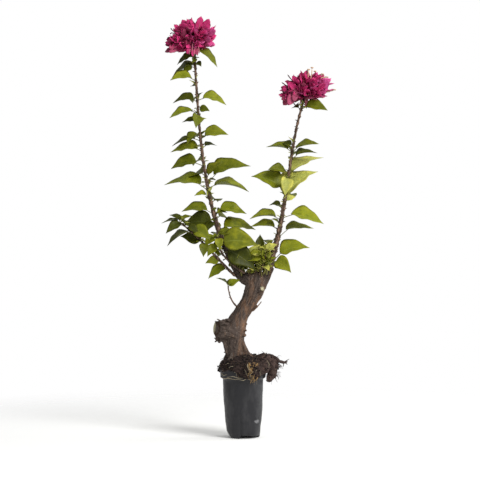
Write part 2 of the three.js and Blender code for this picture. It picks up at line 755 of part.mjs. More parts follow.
const foundation = [trunkSpace, boughSpace(LEFT_SHOOT), boughSpace(RIGHT_SHOOT)];
const masses = [
  {
    name: "left_foliage_low",
    stem: shootLength(LEFT_SHOOT, LEFT_BREAKS.bough, LEFT_BREAKS.low, 7, 4),
    leaves: tierLeaves(LEFT_SHOOT, LEFT_LOW_TIERS, 11),
  },
  {
    name: "left_foliage_middle",
    stem: shootLength(LEFT_SHOOT, LEFT_BREAKS.low, LEFT_BREAKS.middle, 7, 3),
    leaves: tierLeaves(LEFT_SHOOT, LEFT_MIDDLE_TIERS, 12),
  },
  {
    name: "left_foliage_high",
    stem: shootLength(LEFT_SHOOT, LEFT_BREAKS.middle, LEFT_BREAKS.high, 6, 4),
    leaves: tierLeaves(LEFT_SHOOT, LEFT_HIGH_TIERS, 13),
  },
  {
    name: "left_flower_head",
    stem: shootLength(LEFT_SHOOT, LEFT_BREAKS.high, LEFT_BREAKS.head, 6, 2),
    leaves: tierLeaves(LEFT_SHOOT, LEFT_HEAD_TIERS, 14),
    head: LEFT_HEAD,
  },
  {
    name: "right_foliage_low",
    stem: shootLength(RIGHT_SHOOT, RIGHT_BREAKS.bough, RIGHT_BREAKS.low, 7, 4),
    leaves: tierLeaves(RIGHT_SHOOT, RIGHT_LOW_TIERS, 21),
  },
  {
    name: "right_foliage_high",
    stem: shootLength(RIGHT_SHOOT, RIGHT_BREAKS.low, RIGHT_BREAKS.high, 7, 5),
    leaves: tierLeaves(RIGHT_SHOOT, RIGHT_HIGH_TIERS, 22),
  },
  {
    name: "right_flower_head",
    stem: shootLength(RIGHT_SHOOT, RIGHT_BREAKS.high, RIGHT_BREAKS.head, 6, 2),
    leaves: tierLeaves(RIGHT_SHOOT, RIGHT_HEAD_TIERS, 23),
    head: RIGHT_HEAD,
  },
  {
    name: "side_foliage",
    stem: stemSolid(SIDE_BRANCH, 0, 1, 6, 8, foundation),
    leaves: sprayLeaves(SIDE_BRANCH, SIDE_LEAVES, 31),
  },
  {
    name: "centre_foliage",
    stem: stemSolid(CENTRE_SPROUT, 0, 1, 6, 5, foundation),
    leaves: sprayLeaves(CENTRE_SPROUT, CENTRE_LEAVES, 32),
  },
  {
    name: "young_foliage",
    stem: stemSolid(YOUNG_SPROUT, 0, 1, 6, 5, foundation),
    leaves: sprayLeaves(YOUNG_SPROUT, YOUNG_LEAVES, 33),
  },
  {
    name: "low_twig_foliage",
    stem: stemSolid(LOW_TWIG, 0, 1, 5, 6, [trunkSpace]),
    leaves: sprayLeaves(LOW_TWIG, LOW_TWIG_LEAVES, 34),
  },
];

// Each leaf keeps clear of every limb and of the masses grown before it, or is skipped.
const touches = (solid, others) => others.some((other) => !solid.intersect(other).isEmpty());
const limbs = [...solids.values()].map(([solid]) => solid);
const grown = [];
for (const mass of masses) {
  const otherStems = masses.filter((other) => other !== mass).map((other) => other.stem);
  const obstacles = [...limbs, ...otherStems, ...grown];
  const kept = mass.leaves.filter((leaf) => !touches(joined(leafSolids(leaf, GAP)), obstacles));
  const pieces = [mass.stem, ...kept.flatMap((leaf) => leafSolids(leaf))];
  if (mass.head) pieces.push(...headSolids(mass.head));
  const whole = largest(joined(pieces));
  grown.push(whole);
  solids.set(mass.name, [whole, mass.head ? MATERIALS.bract : MATERIALS.leaf]);
}

const plant = new THREE.Group();
for (const [name, [solid, material]] of solids) {
  const mesh = new THREE.Mesh(geometryOf(solid), material);
  mesh.name = name;
  plant.add(mesh);
}

export default plant;
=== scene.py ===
"""A young bougainvillea on an old, cut-back trunk, in the slim nursery pot that it is sold in.

Run as a script, it loads the solid parts as a fixed frame and dresses them: the crumpled pot, the
soil with its spilled roots, the cracked bark, the leafy shoots and the heads of magenta bracts.
Lengths in the tables are millimetres in the frame's own axes, and meshes are made in metres.
"""

import math

import bmesh
import bpy
import numpy as np
from bpy.props import FloatProperty, FloatVectorProperty, IntProperty, PointerProperty
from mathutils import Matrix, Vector, noise
from mathutils.bvhtree import BVHTree


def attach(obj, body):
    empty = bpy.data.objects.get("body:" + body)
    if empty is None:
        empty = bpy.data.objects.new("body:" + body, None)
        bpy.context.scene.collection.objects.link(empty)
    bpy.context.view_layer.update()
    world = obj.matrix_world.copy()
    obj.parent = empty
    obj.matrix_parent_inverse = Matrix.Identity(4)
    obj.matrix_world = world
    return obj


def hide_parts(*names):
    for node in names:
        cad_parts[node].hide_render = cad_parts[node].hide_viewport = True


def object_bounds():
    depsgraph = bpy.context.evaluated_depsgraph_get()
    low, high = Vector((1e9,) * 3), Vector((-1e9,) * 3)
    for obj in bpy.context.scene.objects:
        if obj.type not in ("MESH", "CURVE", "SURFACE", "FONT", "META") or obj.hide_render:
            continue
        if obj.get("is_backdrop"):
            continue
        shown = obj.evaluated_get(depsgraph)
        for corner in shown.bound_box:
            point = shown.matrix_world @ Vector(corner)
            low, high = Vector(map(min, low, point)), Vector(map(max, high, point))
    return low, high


bl_info = {
    "name": "Potted Bougainvillea",
    "version": (1, 0, 0),
    "blender": (4, 5, 0),
    "location": "View3D > Sidebar > Potted Plant",
    "description": "Dresses a potted bougainvillea with bark, leaves, bracts, soil and its pot",
    "category": "Add Mesh",
}

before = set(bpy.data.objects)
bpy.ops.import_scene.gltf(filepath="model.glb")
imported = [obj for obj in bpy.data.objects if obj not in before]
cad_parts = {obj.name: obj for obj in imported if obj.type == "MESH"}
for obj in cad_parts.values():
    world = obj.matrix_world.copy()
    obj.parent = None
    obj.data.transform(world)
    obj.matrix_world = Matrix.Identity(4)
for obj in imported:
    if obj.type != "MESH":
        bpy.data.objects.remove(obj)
CAD_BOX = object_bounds()

MM = 0.001
DEG = math.pi / 180
FRONT = np.array((0.0, -1.0, 0.0))
GOLDEN_ANGLE = 137.508

# ------------------------------------------------------------------ the plant's sizes

POT = {
    "height": 142,
    "foot_radius": 33.4,
    "foot_height": 10,
    "foot_rounding": 4.6,
    "knee": (35.9, 30),
    "belly": (38.3, 62),
    "mouth_radius": 40.3,
    "collar_radius": 47,
    "collar_height": 22,
    "collar_flare": 2.6,
    "collar_step": 3,
    "wall": 1.2,
    "squareness": 2.4,
}
DENT = {"seam": -6.4, "high_side": 6.6, "low_side": 3.6, "back": -4, "height": 12}
# The pale glint on the pot's front crease, a painted highlight: its middle, its half width and height,
# and how strong it is.
PAINTED_GLINT = {"middle": (27.5, 34.5), "reach": (4.2, 3.6), "strength": 0.38, "colour": (0.42, 0.42, 0.43)}
SOIL_LEVEL = 156

TRUNK_AXIS = ((-9, 0, SOIL_LEVEL - 8), (-35.6, 3, 250), (14.5, -2, 242), (27, 0, 318))
TRUNK_RADII = (
    (0, 24), (0.05, 20.5), (0.14, 19.5), (0.3, 21.5), (0.55, 17.2), (0.74, 17), (0.88, 20.5), (1, 22),
)
BURL = {"centre": (22.5, 0, 316), "size": (31, 21, 18)}
SAWN_LIMB = {
    "start": (-12, 0, 206), "end": (-54.5, -7, 218), "radii": (21, 16), "face": (-0.88, -0.45, 0.12),
}
CUT_STUB = {"start": (28, -6, 293), "end": (38, -20, 297), "radii": (9, 6.8)}
SMALL_STUMPS = (
    {"start": (-26, -4, 199), "end": (-53, -6, 194), "radii": (9, 4)},
    {"start": (18, -3, 252), "end": (31, -7, 263.6), "radii": (3, 1.7)},
    {"start": (30.6, -7, 263.2), "end": (37.6, -8, 272), "radii": (1.7, 1.3)},
    {"start": (-24, -8, 168), "end": (-39, -9, 170.5), "radii": (3, 1.4)},
)

# Roots that run from the trunk's foot into the soil: three places, and the radius at each end.
BUTTRESSES = (
    (((-5, -6, 194), (2, -8, 172), (22, -11, 153)), 7.6, 4.5),
    (((-16, -10, 174), (-20, -17, 162), (-30, -24, 154)), 8, 4),
    (((-22, 2, 180), (-32, 2, 164), (-38, 4, 156)), 6, 3),
    (((-8, 12, 176), (-6, 22, 164), (4, 30, 154)), 8, 4),
    (((-38, -5, 199), (-34, -5, 183), (-31.5, -4, 164)), 6, 3.6),
    (((40, -2, 297), (48.5, -2, 316), (57.5, -2, 340)), 5.4, 5.8),
)
# Burrs and the torn callus round the sawn limb: each a place and a radius.
BURRS = (
    ((5, -7, 237), 3.2), ((6, -5, 226), 3.6), ((4.6, -8, 214), 3), ((2.6, -8, 204), 3.6),
    ((-39, -10, 232), 5.6), ((-46, -13, 231), 5), ((-50, -12, 234.5), 3.2), ((-32, -8, 234), 4.6),
    ((-40, -22, 229), 4.6), ((-42, -19, 203), 4.4), ((-36, -20, 207), 4.2), ((-30, -20, 216), 4.6),
    ((-34, -20, 227), 4.2), ((-39, -23, 213), 3.6), ((-57, 3, 231), 3), ((-50, -8, 202), 3.6),
    ((-52, -10, 195.5), 3.2), ((-56, -9, 198.5), 2.2), ((-47, -11, 191), 3.6), ((-55, -7, 191), 2),
)

# Each shoot: its curve's four points, its radius at the foot and tip, and how fast it thins.
LEFT_SHOOT = (((0, 2, 314), (-82, 8, 432), (-89, 12, 615), (-99, 6, 800)), 9.5, 2.4, 3.6)
RIGHT_SHOOT = (((36, -2, 300), (93, -8, 424), (83, -14, 560), (124, -10, 682)), 9.5, 2.6, 3.4)
SIDE_BRANCH = (((-12, -8, 318), (-50, -20, 356), (-84, -22, 396), (-125, -22, 429)), 3.2, 1.6, 1)
CENTRE_SPROUT = (((6, -12, 326), (-20, -26, 344), (-54, -27, 366), (-50, -24, 402)), 2.8, 1.6, 1)
YOUNG_SPROUT = (((32, -14, 322), (38, -22, 340), (46, -24, 358), (45, -22, 376)), 2.8, 1.5, 1)
SPIKE_SPROUT = (((24, -12, 326), (27, -14, 342), (32, -14, 358), (34, -13, 373)), 1.7, 1, 1)
LOW_TWIG = (((-4, -6, 256), (-24, -12, 266), (-28, -16, 286), (-30, -16, 304)), 2, 1.2, 1)
BOUGH_TOPS = (382, 334)

# Leaves on a shoot, tier by tier: the height of the blade's foot, the side or bearing that it grows
# to, its length, its rise, its roll towards the front or None where that is drawn, its colour, and
# its stalk's length where that is not drawn.
# The leaf colours are partly the leaves' own age and partly painted light and shade: deep and olive
# where the leaves lie in shade, mostly on the left, bright where they face the light.
LEFT_TIERS = (
    (11, (
        (391, "left", 31, 0, 8, "olive"), (394, "back", 44, -16, None, "green"),
        (402, "right", 38, -20, None, "green"), (404, "back", 50, -6, None, "deep"),
        (426, "left", 60, -3, 74, "deep"), (416, "right", 68, -6, 26, "green", 8),
        (440, "back", 52, -14, None, "green"),
        (452, "left", 54, -8, None, "olive"), (453, "right", 56, -9, 38, "green", 11),
        (470, "right", 16, 2, 5, "deep"), (474, "back", 46, -10, None, "olive"),
        (483, -150, 26, -6, 36, "bright"), (428, -125, 32, -50, 20, "deep", 3),
        (478, -60, 22, 70, 10, "young", 1), (446, 0, 22, -4, 34, "green", 3),
    )),
    (12, (
        (504, "left", 79, 0, 26, "green"), (503, "right", 77, -13, 10, "bright", 11),
        (522, -22, 44, 35, 60, "bright"), (527, "back", 54, -12, None, "olive"),
        (522, "right", 80, 12, 38, "olive", 20),
        (548, "left", 56, -17, 42, "olive"), (553, "back", 48, -8, None, "green"),
        (576, "left", 58, -7, 30, "bright", 8), (581, "right", 26, 0, None, "deep"),
    )),
    (13, (
        (597, "left", 52, -17, 14, "deep"), (601, "back", 46, -12, None, "olive"),
        (603, "right", 50, 1, 46, "bright", 9), (608, -138, 34, -50, None, "olive"),
        (631, "left", 30, -2, 40, "deep", 5), (643, -128, 32, -50, None, "olive"),
        (634, "back", 34, 0, None, "green"),
        (652, "left", 50, -15, 20, "green"), (656, "right", 22, -12, 78, "olive", 2),
        (674, "left", 46, -12, None, "deep", 6), (678, "right", 53, -14, 36, "bright", 10),
        (678, "back", 36, -14, None, "olive"),
        (702, "back", 20, 0, None, "deep"),
        (717, "left", 45, -10, None, "bright"),
        (745, "left", 50, -30, 30, "deep", 3), (747, "back", 40, 0, None, "olive"),
    )),
    (14, (
        (762, "left", 34, -30, 46, "deep", 6), (741, -170, 25, -36, 62, "olive", 4),
        (775, "right", 60, -37, 14, "olive", 0), (676, "right", 17, 50, 20, "deep", 2),
        (748, -60, 20, -30, 30, "deep", 2), (768, -160, 26, -34, 66, "deep", 2),
        (757, -110, 20, -40, 50, "olive", 2),
    )),
)
RIGHT_TIERS = (
    (21, (
        (350, -26, 45, -29, 62, "bright"), (346, "back", 44, -14, None, "green"),
        (363, 10, 60, 6, 46, "bright", 24),
        (390, "back", 52, -10, None, "green"),
        (417, "left", 50, 0, 24, "bright", 7), (411, "right", 58, 4, 18, "green", 21),
        (438, "left", 56, -5, 20, "bright", 9), (444, "right", 70, -17, 30, "bright"),
        (462, "back", 42, -12, None, "olive"),
    )),
    (22, (
        (463, "left", 24, -4, None, "deep"), (470, "right", 22, 16, 56, "young"),
        (482, "back", 40, -10, None, "green"),
        (479, "right", 85, 36, 26, "young", 13),
        (498, "left", 66, 14, 58, "green"), (516, -88, 42, -66, None, "young"),
        (520, "back", 44, -8, None, "olive"),
        (529, "left", 36, 6, 46, "olive"), (528, "right", 74, 24, 17, "young", 22),
        (561, "right", 46, 4, 12, "deep"), (568, "back", 36, -6, None, "green"),
        (574, "left", 46, 2, 22, "green", 8), (575, "right", 47, 4, 22, "green"),
        (582, "left", 20, 10, 60, "deep", 2),
        (508, 20, 32, 56, 30, "young", 5), (424, "left", 18, 20, 30, "olive", 3),
    )),
    (23, (
        (664, "back", 34, -10, None, "deep"),
        (659, "right", 45, -14, 50, "olive"), (656, "left", 16, -4, None, "deep"),
    )),
)
# Leaves of the looser sprays: share along the stem, bearing, rise, roll, length and colour.
SIDE_LEAVES = (
    (0.14, 186, -30, 44, 42, "green"), (0.265, 184, -10, 66, 30, "bright"),
    (0.34, 150, 50, 30, 18, "green"), (0.4, 80, -12, 30, 42, "deep"),
    (0.575, -100, -62, 14, 31, "olive"), (0.6, 172, 10, 68, 44, "deep"),
    (0.84, -12, -34, 62, 44, "green"), (0.79, 182, -34, 8, 54, "deep"),
    (0.9, -24, -40, 50, 28, "deep"), (0.93, 194, -30, 44, 38, "deep"),
    (0.99, 176, -8, 6, 36, "deep"), (0.99, 156, 24, 30, 26, "deep"),
    (0.99, 16, 20, 24, 26, "olive"), (0.94, 86, 6, 10, 32, "olive"),
    (0.46, 4, 18, 40, 30, "olive"), (0.7, 30, 30, 50, 26, "deep"),
)
CENTRE_LEAVES = (
    (0.14, 30, 62, 40, 34, "olive"), (0.36, 10, 44, 60, 32, "green"),
    (0.64, -9, -35, 84, 70, "deep"), (0.78, 196, -48, 60, 30, "green"),
    (0.8, -14, -5, 66, 74, "bright"), (0.93, -70, -62, 10, 28, "bright"),
    (0.97, 190, -46, 60, 30, "green"), (0.98, 8, 10, 40, 34, "olive"),
    (0.04, 160, 62, 40, 30, "deep"), (0.1, 60, 56, 30, 26, "deep"),
)
YOUNG_LEAVES = (
    (0.2, 196, 40, 40, 26, "deep"), (0.3, -60, -20, 10, 24, "young"),
    (0.42, 170, 58, 40, 34, "deep"), (0.56, 96, 30, 10, 30, "bright"),
    (0.74, 178, -22, 76, 40, "bright"), (0.5, 180, 80, 66, 32, "bright"),
    (0.72, 30, 40, 30, 24, "young"), (0.84, -30, 10, 30, 22, "young"),
    (0.75, 182, 6, 62, 38, "young"), (0.9, 20, 24, 50, 26, "young"),
)
SPIKE_LEAVES = (
    (1, 96, 80, 8, 30, "deep"), (0.7, 186, 10, 60, 24, "bright"), (0.5, -20, 30, 60, 22, "young"),
    (0.3, -120, 20, 50, 20, "young"), (0.16, -10, 20, 70, 20, "young"), (0.1, 196, 16, 70, 20, "young"),
    (0.04, 20, 30, 76, 20, "young"), (0.02, 170, 4, 70, 18, "young"), (0.36, 14, 50, 60, 20, "bright"),
)
LOW_TWIG_LEAVES = (
    (0.92, -6, 26, 70, 26, "green"), (1.0, 184, 24, 6, 26, "deep"),
)
SPRAYS = (
    (SIDE_BRANCH, SIDE_LEAVES, 31),
    (CENTRE_SPROUT, CENTRE_LEAVES, 32),
    (YOUNG_SPROUT, YOUNG_LEAVES, 33),
    (SPIKE_SPROUT, SPIKE_LEAVES, 35),
    (LOW_TWIG, LOW_TWIG_LEAVES, 34),
)
# Crowds of thin pale sprouts: the seed, how many there are, the corners of the box that their feet
# stand in, the ranges of their rise and height, and how much longer their leaves are.
SPRIG_CROWDS = (
    (77, 17, (6, -17, 320), (56, 6, 331), (62, 86), (9, 26), 1),
    (79, 9, (40, -20, 322), (54, -13, 342), (66, 88), (20, 44), 1.4),
    (81, 6, (-6, -16, 321), (10, -4, 328), (60, 86), (12, 22), 1),
)

# The flower heads: the heart that the bracts fan from, the ball that they fill and its lean, the
# level of its underside at the left and right, and the notch in its top. Skirts are smaller crowds,
# each with its heart, its ball and its share of the triads. Lobes are single bracts, each with its
# root, tip and width. Spent, open and hanging flowers are given by the places their stalks pass.
HEADS = (
    {
        "heart": (-98, 6, 788), "centre": (-99, 6, 801), "size": (51, 45, 42),
        "lean": -12, "seed": 41, "underside": (768, 783), "notch": (-95, 831),
        "skirts": (
            ((-122, -12, 790), (-127, -16, 783), (31, 24, 19), 0.36),
            ((-100, -14, 788), (-100, -20, 782), (24, 20, 18), 0.3),
        ),
        "lobes": (
            ((-134, -14, 780), (-157, -16, 766), 0.56), ((-128, -20, 778), (-148, -26, 764), 0.5),
            ((-104, -26, 780), (-112, -30, 760), 0.5), ((-98, -22, 776), (-101, -28, 754), 0.46),
            ((-94, -18, 780), (-91, -24, 757), 0.44),
        ),
        "spent": (
            ((-134, -12, 806), (-141, -14, 812), (-144, -14, 816)),
            ((-134, -14, 804), (-142, -16, 806), (-145, -16, 803)),
            ((-136, -10, 796), (-148, -12, 798), (-151, -12, 794)),
            ((-136, -8, 790), (-148, -8, 789), (-152, -8, 791)),
        ),
        "open": (),
        "hanging": (
            ((-96, -16, 786), (-97, -26, 772), (-97, -29, 758)),
            ((-101, -18, 784), (-105, -29, 771), (-107, -32, 760)),
            ((-91, -16, 786), (-88, -26, 774), (-86, -29, 763)),
            ((-99, -18, 790), (-100, -30, 778), (-101, -34, 766)),
        ),
    },
    {
        "heart": (125, -10, 681), "centre": (127, -10, 695), "size": (54, 46, 40),
        "lean": -14, "seed": 57, "underside": (672, 684), "notch": (135, 726),
        "skirts": (((98, -18, 690), (92, -22, 680), (21, 18, 19), 0.26),),
        "lobes": (
            ((104, -24, 690), (74, -26, 670), 0.56), ((102, -18, 688), (78, -20, 660), 0.56),
            ((104, -32, 690), (88, -38, 658), 0.52), ((108, -30, 694), (98, -40, 664), 0.5),
            ((102, -12, 690), (74, -12, 678), 0.5), ((106, -28, 688), (82, -34, 664), 0.5),
        ),
        "spent": (
            ((98, -20, 690), (86, -24, 700), (76, -26, 707)),
            ((102, -24, 706), (94, -28, 714), (88, -28, 722)),
            ((120, -20, 712), (126, -22, 723), (128, -22, 733)),
            ((96, -26, 684), (84, -30, 686), (76, -30, 690)),
            ((112, -16, 668), (104, -20, 662), (100, -20, 668)),
        ),
        "open": (
            ((132, -20, 708), (136, -24, 722), (137, -26, 735)),
            ((138, -18, 706), (143, -22, 718), (143, -24, 728)),
            ((146, -16, 704), (156, -20, 716), (167, -22, 717)),
            ((156, -14, 690), (172, -18, 690), (182, -20, 692)),
            ((128, -22, 706), (129, -27, 720), (130, -29, 731)),
            ((148, -20, 706), (153, -27, 718), (158, -29, 722)),
        ),
        "hanging": (
            ((118, -16, 684), (115, -23, 673), (113, -25, 664)),
            ((124, -16, 684), (124, -23, 675), (123, -25, 667)),
        ),
    },
)

CLODS = (
    ((41, -6, 154), (20, 20, 13)),
    ((57, -7, 147), (14, 15, 16)),
    ((58.5, -9, 130), (9, 10, 15)),
    ((52, -12, 119), (7.5, 7, 8)),
    ((-12, -38, 144), (18, 10, 9)),
    ((14, -40, 138), (27, 11, 18)),
    ((38, -26, 142), (14, 15, 13)),
)
BROKEN_ROOT = ((50, -6, 161), (66, -9, 168), (72, -10, 141), (89, -10, 153))
# The forks at the broken root's end, each with its radius.
ROOT_FORKS = (((89, -13, 146), 1.8), ((93, -8, 157), 1.3), ((80, -13, 141), 1.5))
# Roots that lie round the collar: their level, and the bearings that they run between.
COLLAR_ROOTS = ((121, 188, 262), (123, 226, 290), (128, 196, 232), (119, 250, 300))
CRUMBS, TUFT_ROOTS, HANGING_ROOTS = 260, 46, 76

# How many spurs and nodes stand on a long shoot, and on a twig.
SPURS = {"long": 76, "twig": 8}
NODES = {"long": 26, "twig": 7}
HEAD_STALKS = 16
LIGHT_AIM = (0, 0, 0.42)
LAMPS = (("key_lamp", (1.7, -1.9, 2.0), 1.3, 1.0), ("side_lamp", (2.2, 0.6, 0.9), 1.6, 0.28))
SENSOR_WIDTH, VIEW_WIDTH, CAMERA_X = 36, 0.96, -0.006

FOLIAGE_NODES = sorted(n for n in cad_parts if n.endswith("foliage") or "_foliage_" in n)
HEAD_NODES = sorted(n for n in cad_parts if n.endswith("flower_head"))


def paint(code):
    """A linear colour from six hexadecimal digits."""
    parts = [int(code[i : i + 2], 16) / 255 for i in (0, 2, 4)]
    return tuple(p / 12.92 if p <= 0.04045 else ((p + 0.055) / 1.055) ** 2.4 for p in parts)


# ------------------------------------------------------------------ settings


def colour_setting(name, description, code):
    return FloatVectorProperty(
        name=name, description=description, subtype="COLOR", size=3, min=0, max=1, default=paint(code)
    )


def length_setting(name, description, millimetres):
    return FloatProperty(
        name=name, description=description, unit="LENGTH", min=0, default=millimetres * MM
    )


class PotSettings(bpy.types.PropertyGroup):
    plastic: colour_setting("Plastic", "Colour of the moulded pot", "131317")
    dust: colour_setting("Dust", "Colour of the dust and scuffs on the pot", "3d3c3d")
    roughness: FloatProperty(
        name="Roughness", description="How dull the plastic is", min=0, max=1, default=0.42
    )
    crumple: length_setting("Crumple", "How far the soft wall is pushed in and out", 0.8)


class SoilSettings(bpy.types.PropertyGroup):
    soil: colour_setting("Soil", "Colour of the damp soil", "1a1412")
    root: colour_setting("Roots", "Colour of the dark matted roots", "473935")
    fresh_root: colour_setting("Fresh roots", "Colour of the tan roots over the collar", "c09a62")
    clod: length_setting("Clods", "How far the soil's clods stand out", 2.6)
    fibres: IntProperty(
        name="Fibres", description="How many root hairs lie on the soil", min=0, default=420
    )


class BarkSettings(bpy.types.PropertyGroup):
    weathered: colour_setting("Weathered bark", "Colour of the grey, old bark", "4d423c")
    # The warm colour also serves as painted light on the trunk's right side.
    warm: colour_setting("Warm bark", "Colour of the rubbed, orange-brown bark", "7c5a40")
    # The crack colour is painted shade in the bark's grooves, and on the cut faces the colour of the
    # rotten wood.
    crack: colour_setting("Cracks", "Colour deep in the bark's cracks", "18110d")
    shoot: colour_setting("Shoots", "Colour of the young shoots' bark", "614a36")
    wood: colour_setting("Cut wood", "Colour of the sawn wood", "d8d0ac")
    relief: length_setting("Relief", "Depth of the bark's cracks", 1.5)


class FoliageSettings(bpy.types.PropertyGroup):
    # These colours are partly the leaves' age and partly painted light and shade, from the shaded deep
    # to the lit bright.
    deep: colour_setting("Deep leaves", "Colour of the old, shaded leaves", "3b4108")
    olive: colour_setting("Olive leaves", "Colour of the dull olive leaves", "575e10")
    green: colour_setting("Green leaves", "Colour of the full green leaves", "666e12")
    bright: colour_setting("Bright leaves", "Colour of the fresh yellow-green leaves", "70771b")
    young: colour_setting("Young leaves", "Colour of the youngest, palest leaves", "a1a450")
    petiole: colour_setting("Petioles", "Colour of the leaf stalks", "6f6b33")
    thickness: length_setting("Thickness", "Thickness of a leaf at its midrib", 0.5)


class BlossomSettings(bpy.types.PropertyGroup):
    # The shaded colour is painted shade on the heads' left and hanging bracts, and the pink one painted
    # highlights.
    shaded: colour_setting("Shaded bracts", "Colour of the dull bracts on the left", "983858")
    magenta: colour_setting("Magenta bracts", "Colour of most bracts", "c22a6c")
    pink: colour_setting("Pink bracts", "Colour of the light bracts", "d0508f")
    tube: colour_setting("Flower tubes", "Colour of the flower tubes and stalks", "ac6470")
    cream: colour_setting("Open flowers", "Colour of the small open flowers", "d8b596")
    spent: colour_setting("Spent flowers", "Colour of the dried flowers", "4a2c33")
    triads: IntProperty(name="Triads", description="Bract triads on each head", min=3, default=54)


class StageSettings(bpy.types.PropertyGroup):
    floor: colour_setting("Floor", "Colour of the floor", "f4f4f2")
    distance: FloatProperty(
        name="Distance", description="Distance of the camera", unit="LENGTH", min=1, default=3
    )
    height: FloatProperty(
        name="Height", description="Height of the camera", unit="LENGTH", min=0, default=0.394
    )
    daylight: FloatProperty(
        name="Daylight", description="Strength of the light from all round", min=0, default=0.62
    )
    lamp: FloatProperty(name="Lamp", description="Power of the main lamp in watts", min=0, default=95)


class PlantSettings(bpy.types.PropertyGroup):
    pot: PointerProperty(type=PotSettings, name="Pot", description="The pot's finish")
    soil: PointerProperty(type=SoilSettings, name="Soil", description="The soil and roots")
    bark: PointerProperty(type=BarkSettings, name="Bark", description="The trunk and shoots")
    foliage: PointerProperty(type=FoliageSettings, name="Foliage", description="The leaves")
    blossom: PointerProperty(type=BlossomSettings, name="Blossom", description="The flower heads")
    stage: PointerProperty(type=StageSettings, name="Stage", description="Floor, light and camera")


# ------------------------------------------------------------------ lots, directions and curves


class Lots:
    """A seeded run of numbers from 0 to 1."""

    def __init__(self, seed):
        self.state = seed

    def __call__(self):
        self.state = (self.state * 1664525 + 1013904223) % 4294967296
        return self.state / 4294967296

    def between(self, low, high):
        return low + (high - low) * self()


def heading(bearing, rise):
    """The unit vector at a bearing from +X and a rise above the level, both in degrees."""
    level = math.cos(rise * DEG)
    return np.array(
        (math.cos(bearing * DEG) * level, math.sin(bearing * DEG) * level, math.sin(rise * DEG))
    )


def unit(vectors):
    return vectors / np.maximum(np.linalg.norm(vectors, axis=-1, keepdims=True), 1e-9)


def bezier(*controls):
    """A curve that gives the places and directions at an array of shares of its way."""
    controls = [np.array(c, float) for c in controls]

    def at(shares):
        t = np.atleast_1d(np.asarray(shares, float))[:, None]
        points = [np.broadcast_to(c, (len(t), 3)) for c in controls]
        while len(points) > 2:
            points = [(1 - t) * a + t * b for a, b in zip(points, points[1:])]
        return (1 - t) * points[0] + t * points[1], unit(points[1] - points[0])

    return at


def through(places):
    """A smooth curve through a row of places."""
    knots = np.array(places, float)
    knots = np.vstack((2 * knots[0] - knots[1], knots, 2 * knots[-1] - knots[-2]))
    spans = len(knots) - 3

    def at(shares):
        way = np.clip(np.atleast_1d(np.asarray(shares, float)), 0, 1) * spans
        first = np.minimum(way.astype(int), spans - 1)
        t = (way - first)[:, None]
        a, b, c, d = (knots[first + i] for i in range(4))
        place = 0.5 * (
            2 * b + (c - a) * t + (2 * a - 5 * b + 4 * c - d) * t**2 + (3 * b - a - 3 * c + d) * t**3
        )
        slope = (c - a) + 2 * (2 * a - 5 * b + 4 * c - d) * t + 3 * (3 * b - a - 3 * c + d) * t**2
        return place, unit(slope)

    return at


def part_of(curve, start, end):
    return lambda shares: curve(start + (end - start) * np.asarray(shares, float))


def share_at_height(curve, height):
    low, high = 0.0, 1.0
    for _ in range(30):
        middle = (low + high) / 2
        if curve(middle)[0][0][2] < height:
            low = middle
        else:
            high = middle
    return low


def stem_radius(stem, share):
    _, foot, tip, thinning = stem
    return tip + (foot - tip) * (1 - share) ** thinning


def lumpiness(points, length):
    """A gentle lumpiness from -1 to 1 that varies over about the given length."""
    x, y, z = (points / length).T
    coarse = np.sin(2.1 * x + 1.3) * np.sin(2.3 * y + 0.7) * np.sin(1.9 * z + 2.1)
    fine = np.sin(5.3 * x + 0.4) * np.sin(4.7 * y + 2.9) * np.sin(5.9 * z + 1.1)
    return 0.65 * coarse + 0.35 * fine


def rough(points, length, octaves=3):
    """Fractal noise from about -1 to 1 at each point, its coarsest part over the given length."""
    return np.array([noise.fractal(Vector(p), 1.0, 2.0, octaves) for p in points / length])


# ------------------------------------------------------------------ meshes


class Form:
    """A ball, read as a spindle: every corner's share of the way and its angle round the middle."""

    def __init__(self, sides, steps):
        ball = bmesh.new()
        bmesh.ops.create_uvsphere(ball, u_segments=sides, v_segments=steps, radius=1)
        ball.verts.index_update()
        x, y, z = np.array([v.co for v in ball.verts], float).T
        self.share = np.arccos(np.clip(-z, -1, 1)) / math.pi
        self.around = np.arctan2(x, -y)
        self.girth = (np.hypot(x, y) > 1e-5).astype(float)
        self.faces = [[v.index for v in f.verts] for f in ball.faces]
        ball.free()

    def bent(self, curve, up, section, pace=1.0):
        """The corners' places when the spindle is bent along a curve and given a section."""
        share = self.share**pace
        place, tangent = curve(share)
        across = unit(np.cross(tangent, up))
        lift = np.cross(across, tangent)
        side, height = (s * self.girth for s in section(share, self.around))
        return place + across * side[:, None] + lift * height[:, None]


def round_section(radius_at):
    def section(share, around):
        radius = radius_at(share)
        return np.sin(around) * radius, np.cos(around) * radius

    return section


def tapered(foot, tip):
    """A round section that runs evenly from one radius to another."""
    return round_section(lambda share: foot + (tip - foot) * share)


def thinning(radius, start, loss):
    """A round section of a radius times a factor that falls from start by loss on its way."""
    return round_section(lambda share: radius * (start - loss * share))


